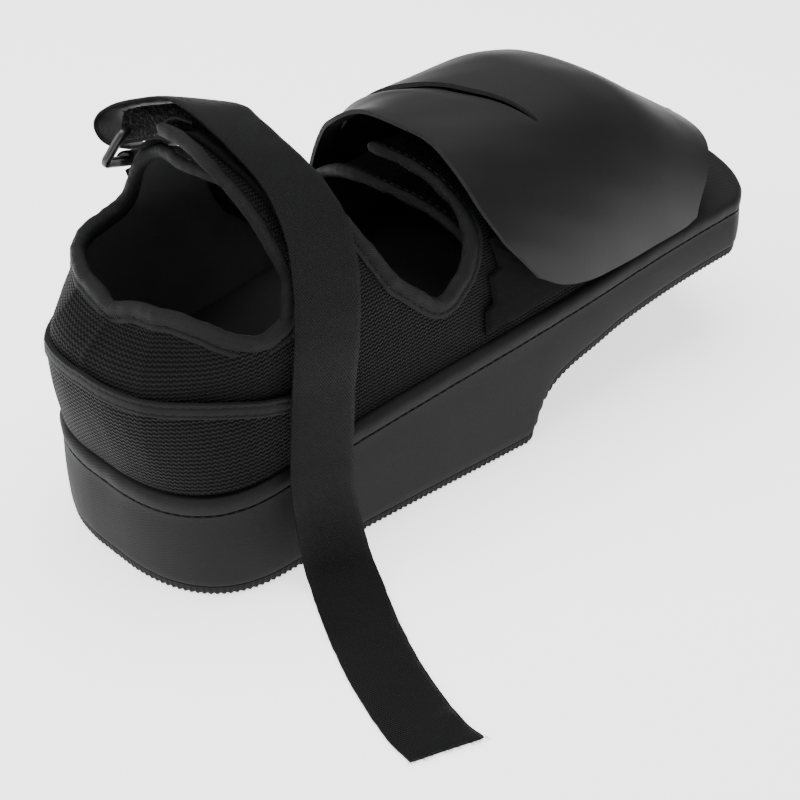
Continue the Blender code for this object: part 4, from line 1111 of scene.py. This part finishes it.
STRAP_TOP = {
    "x": (44, 42, 40, 38.6, 38.2, 38.4, 39.2, 41, 43, 43.5),
    "y": (12, 24, 33.5, 40.3, 42.8, 40, 33.5, 21, 8, -3),
    "z": (147.0, 143.2, 139.2, 134.4, 129.4, 125.6, 125.2, 129.0, 141.2, 143.2),
    "swing": (6, 16, 24, 29, 30, 30, 30, 22, 10, 2),
}


def heading(swing, tip):
    """Direction of the tape's width: swing turns it in plan, tip tilts it down."""
    swing, tip = np.radians(swing), np.radians(tip)
    return np.stack([np.cos(swing) * np.cos(tip), np.sin(swing) * np.cos(tip), np.sin(tip)], -1)


def smooth_path(points, per_span):
    """Path through every point, each span a cubic of its neighbours."""
    padded = np.concatenate([[2 * points[0] - points[1]], points, [2 * points[-1] - points[-2]]])
    a, b, c, d = (padded[k:len(padded) - 3 + k, None] for k in range(4))
    t = np.linspace(0, 1, per_span, endpoint=False)[None, :, None]
    path = 0.5 * (2 * b + (c - a) * t + (2 * a - 5 * b + 4 * c - d) * t ** 2
                  + (3 * b - a - 3 * c + d) * t ** 3)
    return np.concatenate([path.reshape(-1, points.shape[1]), points[-1:]])


tail = np.stack([STRAP_TAIL[k] for k in ("x", "y", "z")], 1).astype(float)
tail_dir = heading(np.array(STRAP_TAIL["swing"], float), np.array(STRAP_TAIL["tip"], float))
on_turn = np.array(STRAP_ON_FLAP["turn"])
on_rear = last(STRAP_ON_FLAP["rear_run"], on_turn, -1.0, np.array(STRAP_ON_FLAP["rear_lift"]))
on_front = last(STRAP_ON_FLAP["front_run"], on_turn, -1.0, np.array(STRAP_ON_FLAP["front_lift"]))
on_dir = (on_front - on_rear) / np.linalg.norm(on_front - on_rear, axis=1, keepdims=True)
top = np.stack([STRAP_TOP[k] for k in ("x", "y", "z")], 1).astype(float)
top_dir = heading(np.array(STRAP_TOP["swing"], float), np.full(len(top), STRAP_SLOPE))
top = top + top_dir * STRAP_WIDTH / 2
middle = smooth_path(np.concatenate([tail, (on_rear + on_front) / 2, top]), 14)
wide = smooth_path(np.concatenate([tail_dir, on_dir, top_dir]), 14)
wide /= np.linalg.norm(wide, axis=1, keepdims=True)


def band(name, middle, wide, width, thick, finish, cup=0.0, across=16):
    """Flat tape along a path: rows of points across its width, cupped a little, with rolled edges
    and its two faces joined into one ring."""
    ahead = np.gradient(middle, axis=0)
    ahead /= np.linalg.norm(ahead, axis=1, keepdims=True)
    face = np.cross(ahead, wide)
    face /= np.linalg.norm(face, axis=1, keepdims=True)
    s = np.linspace(-1, 1, across)
    run = lengths(middle)
    flat = np.concatenate([s, s[::-1]])
    lower = np.concatenate([-np.ones(across), np.ones(across)])
    edge = 1 - 0.55 * np.abs(flat) ** 14
    b = lower * thick / 2 * edge + cup * (flat ** 2 - 0.4)
    wave = 0.10 * hash_wave(run / 5.0, 91)[:, None] * (1 + flat[None, :])
    a = flat[None, :] * (width / 2 + 0.10 * hash_wave(run / 2.2, 92)[:, None])
    offset = b[None, :] + wave
    verts = middle[:, None] + wide[:, None] * a[..., None] + face[:, None] * offset[..., None]
    n, m = verts.shape[:2]
    i, k = np.meshgrid(np.arange(n - 1), np.arange(m), indexing="ij")
    q = (k + 1) % m
    quads = np.stack([i * m + k, i * m + q, (i + 1) * m + q, (i + 1) * m + k], -1).reshape(-1, 4)
    k = np.arange(across - 1)
    end = np.stack([k, 2 * across - 1 - k, 2 * across - 2 - k, k + 1], 1)
    caps = np.concatenate([end, (n - 1) * m + end[:, ::-1]])
    uv = np.stack([run[:, None] + 0 * flat[None, :], a + 100 * (lower[None, :] > 0)], -1)
    return make_piece(name, verts, [quads, caps], [finish], uv=uv)


strap_twill = Finish("strap_twill", (0.022, 0.022, 0.0235), 0.55)
u, v = strap_twill.uv()
rib_line = ((u * 0.75 + v) / 0.95).wave()
fill = ((u - v * 0.55) / 0.7).wave()
cloud = strap_twill.noise(60.0, 3.0)
lint = (0.02 - strap_twill.cells(260.0)).step(0.0, 0.01)
strap_twill.paint(rib_line * 0.5 + fill * 0.2 + cloud * 0.35 + lint, (0.0020, 0.0020, 0.0022), (0.0074, 0.0074, 0.0079))
strap_twill.rough(rib_line, 0.68, 0.46)
strap_twill.relief(rib_line * 0.7 + fill * 0.35, 0.22)
fit(band("ankle_strap_tape", middle, wide, STRAP_WIDTH - 1.3, 1.4, strap_twill, 0.25), "strap_webbing", "ankle_strap")
rng = np.random.default_rng(7)
count = 46
share = rng.uniform(-1, 1, count)
start = middle[0] + wide[0] * share[:, None] * STRAP_WIDTH / 2 + np.stack(
    [0 * share, 0 * share, rng.uniform(-0.4, 0.5, count)], 1)
out_way = (middle[0] - middle[1]) / np.linalg.norm(middle[0] - middle[1])
reach = rng.uniform(0.6, 2.6, count)[:, None]
veer = rng.uniform(-0.7, 0.7, (count, 2))
tip = start + out_way * reach + wide[0] * veer[:, :1] * reach
tip[:, 2] = np.maximum(start[:, 2] + veer[:, 1] * 0.5, 0.15)


def hairs(name, start, tip, thick, finish, slot):
    """Loose fibres: thin three-sided spikes from their roots to their tips."""
    way = tip - start
    side = np.cross(way, (0.13, 0.31, 0.94))
    side /= np.linalg.norm(side, axis=1, keepdims=True)
    other = np.cross(way, side)
    other /= np.linalg.norm(other, axis=1, keepdims=True)
    angle = np.radians((0, 120, 240))
    ring = start[:, None] + thick / 2 * (side[:, None] * np.cos(angle)[None, :, None]
                                         + other[:, None] * np.sin(angle)[None, :, None])
    verts = np.concatenate([ring, tip[:, None]], 1)
    base = np.arange(len(start))[:, None] * 4
    tris = np.concatenate([base + np.array(t) for t in ((0, 1, 3), (1, 2, 3), (2, 0, 3), (0, 2, 1))])
    return fit(make_piece(name, verts, [tris], [finish]), slot)


hairs("strap_fray", start, tip, 0.22, thread, "strap_webbing")

hook_plastic = Finish("hook_monofil", (0.05, 0.05, 0.05), 0.25, Transmission_Weight=0.2)
hook_plastic.paint(hook_plastic.noise(300.0), (0.008, 0.008, 0.008), (0.10, 0.10, 0.10))
hook_base = twill("hook_tape_base", (0.006, 0.006, 0.0064))
first, final = 14 * 15 + 8, 14 * 19 + 6
path = middle[first:final]
side_way = wide[first:final]
ahead = np.gradient(path, axis=0)
ahead /= np.linalg.norm(ahead, axis=1, keepdims=True)
face = np.cross(ahead, side_way)
face /= np.linalg.norm(face, axis=1, keepdims=True)
down = np.sign(-face[:, 2:3])
HOOK_WIDTH, HOOK_LEAN = 15.0, 50.0
hang = face * down * np.sin(np.radians(HOOK_LEAN)) - side_way * np.cos(np.radians(HOOK_LEAN))
hook_face = np.cross(ahead, hang)
hook_face *= -np.sign(np.sum(hook_face * side_way, axis=1, keepdims=True))
middle_line = path + face * down * 1.3 + hang * HOOK_WIDTH / 2
fit(band("hook_tape", middle_line, hang, HOOK_WIDTH, 0.8, hook_base), "strap_webbing")
rows = np.arange(0, len(path) - 1, 1)
lanes = np.linspace(-6.5, 6.5, 12)
root = (middle_line[rows][:, None] + hang[rows][:, None] * lanes[None, :, None]
        + hook_face[rows][:, None] * 0.35).reshape(-1, 3)
lean = rng.normal(0, 0.35, root.shape)
hook_out = np.repeat(hook_face[rows], len(lanes), 0)
hairs("hook_tape_hooks", root, root + hook_out * 1.3 + lean, 0.5, hook_plastic, "strap_webbing")

# Strap ring: a flat moulded frame with rounded bars that stands up on the left ankle flap, held by
# a short loop of narrow webbing round its lower bar.
RING_WIDTH, RING_HEIGHT, RING_BAR, RING_THICK, RING_SWING = 34.0, 15.0, 3.4, 2.6, 30.0
RING_TOP, RING_FOOT = np.array((40.0, 28.5, 131.5)), np.array((38.6, 34.0, 119.5))
ring_side = heading(RING_SWING, STRAP_SLOPE)
ring_up = RING_TOP - RING_FOOT
ring_face = np.cross(ring_side, ring_up)
ring_face /= np.linalg.norm(ring_face)
ring_up = np.cross(ring_face, ring_side)
ring_middle = (RING_TOP + RING_FOOT) / 2 + ring_side * STRAP_WIDTH / 2


def rounded(width, height, corner, steps=9):
    """Rounded rectangle of even corners, as across and up."""
    start = np.radians((0, 90, 180, 270))[:, None] + np.linspace(0, np.pi / 2, steps)[None, :]
    sx = np.array((1, -1, -1, 1))[:, None] * (width / 2 - corner)
    sy = np.array((1, 1, -1, -1))[:, None] * (height / 2 - corner)
    return np.stack([(sx + corner * np.cos(start)).ravel(), (sy + corner * np.sin(start)).ravel()], 1)


plastic = Finish("ring_plastic", (0.014, 0.014, 0.015), 0.33, Specular_IOR_Level=0.5)
cloud = plastic.noise(90.0, 3.0)
plastic.paint(cloud, (0.005, 0.005, 0.0054), (0.010, 0.010, 0.0106))
plastic.rough(cloud, 0.28, 0.42)
plastic.relief(plastic.noise(800.0), 0.02)
angle = np.linspace(0, 2 * np.pi, 16, endpoint=False)
bar_a = np.sign(np.cos(angle)) * np.abs(np.cos(angle)) ** 0.6 * RING_BAR / 2
bar_b = np.sign(np.sin(angle)) * np.abs(np.sin(angle)) ** 0.6 * RING_THICK / 2
loops = [rounded(RING_WIDTH - RING_BAR - 2 * a, RING_HEIGHT - RING_BAR - 2 * a, max(2.0 - a, 0.3)) for a in bar_a]
verts = np.stack([ring_middle + loop[:, :1] * ring_side + loop[:, 1:] * ring_up + b * ring_face
                  for loop, b in zip(loops, bar_b)])
m, n = verts.shape[:2]
i, k = np.meshgrid(np.arange(m), np.arange(n), indexing="ij")
quads = np.stack([i * n + k, i * n + (k + 1) % n, (i + 1) % m * n + (k + 1) % n, (i + 1) % m * n + k], -1)
ring_piece = make_piece("ring_frame", verts, [quads.reshape(-1, 4)], [plastic])
fit(ring_piece, "ring_plastic", "strap_ring")
TAB_WIDTH, TAB_RUN, TAB_THICK = 12.0, 91.0, 1.0
bar = ring_middle - ring_up * (RING_HEIGHT / 2 - RING_BAR / 2) + ring_side * 5
reach = RING_BAR / 2 + GAP + TAB_THICK / 2 + 0.5
angle = np.radians(np.linspace(-50, 210, 27))[:, None]
loop = bar + reach * (ring_face * np.cos(angle) + ring_up * np.sin(angle))
foot = last(TAB_RUN, 0.40, 1.0, 1.3)
flap_dir = last(TAB_RUN + 7, 0.43, 1.0) - last(TAB_RUN - 7, 0.43, 1.0)
flap_dir /= np.linalg.norm(flap_dir)
climb = np.linspace(0, 1, 16)[:-1, None]
path = np.concatenate([foot + (loop[0] - foot) * climb, loop])
side_way = np.concatenate([flap_dir + (ring_side - flap_dir) * climb, ring_side + 0 * loop])
side_way /= np.linalg.norm(side_way, axis=1, keepdims=True)
fit(band("ring_tab_tape", path, side_way, TAB_WIDTH, TAB_THICK, strap_twill), "strap_webbing", "ring_tab")
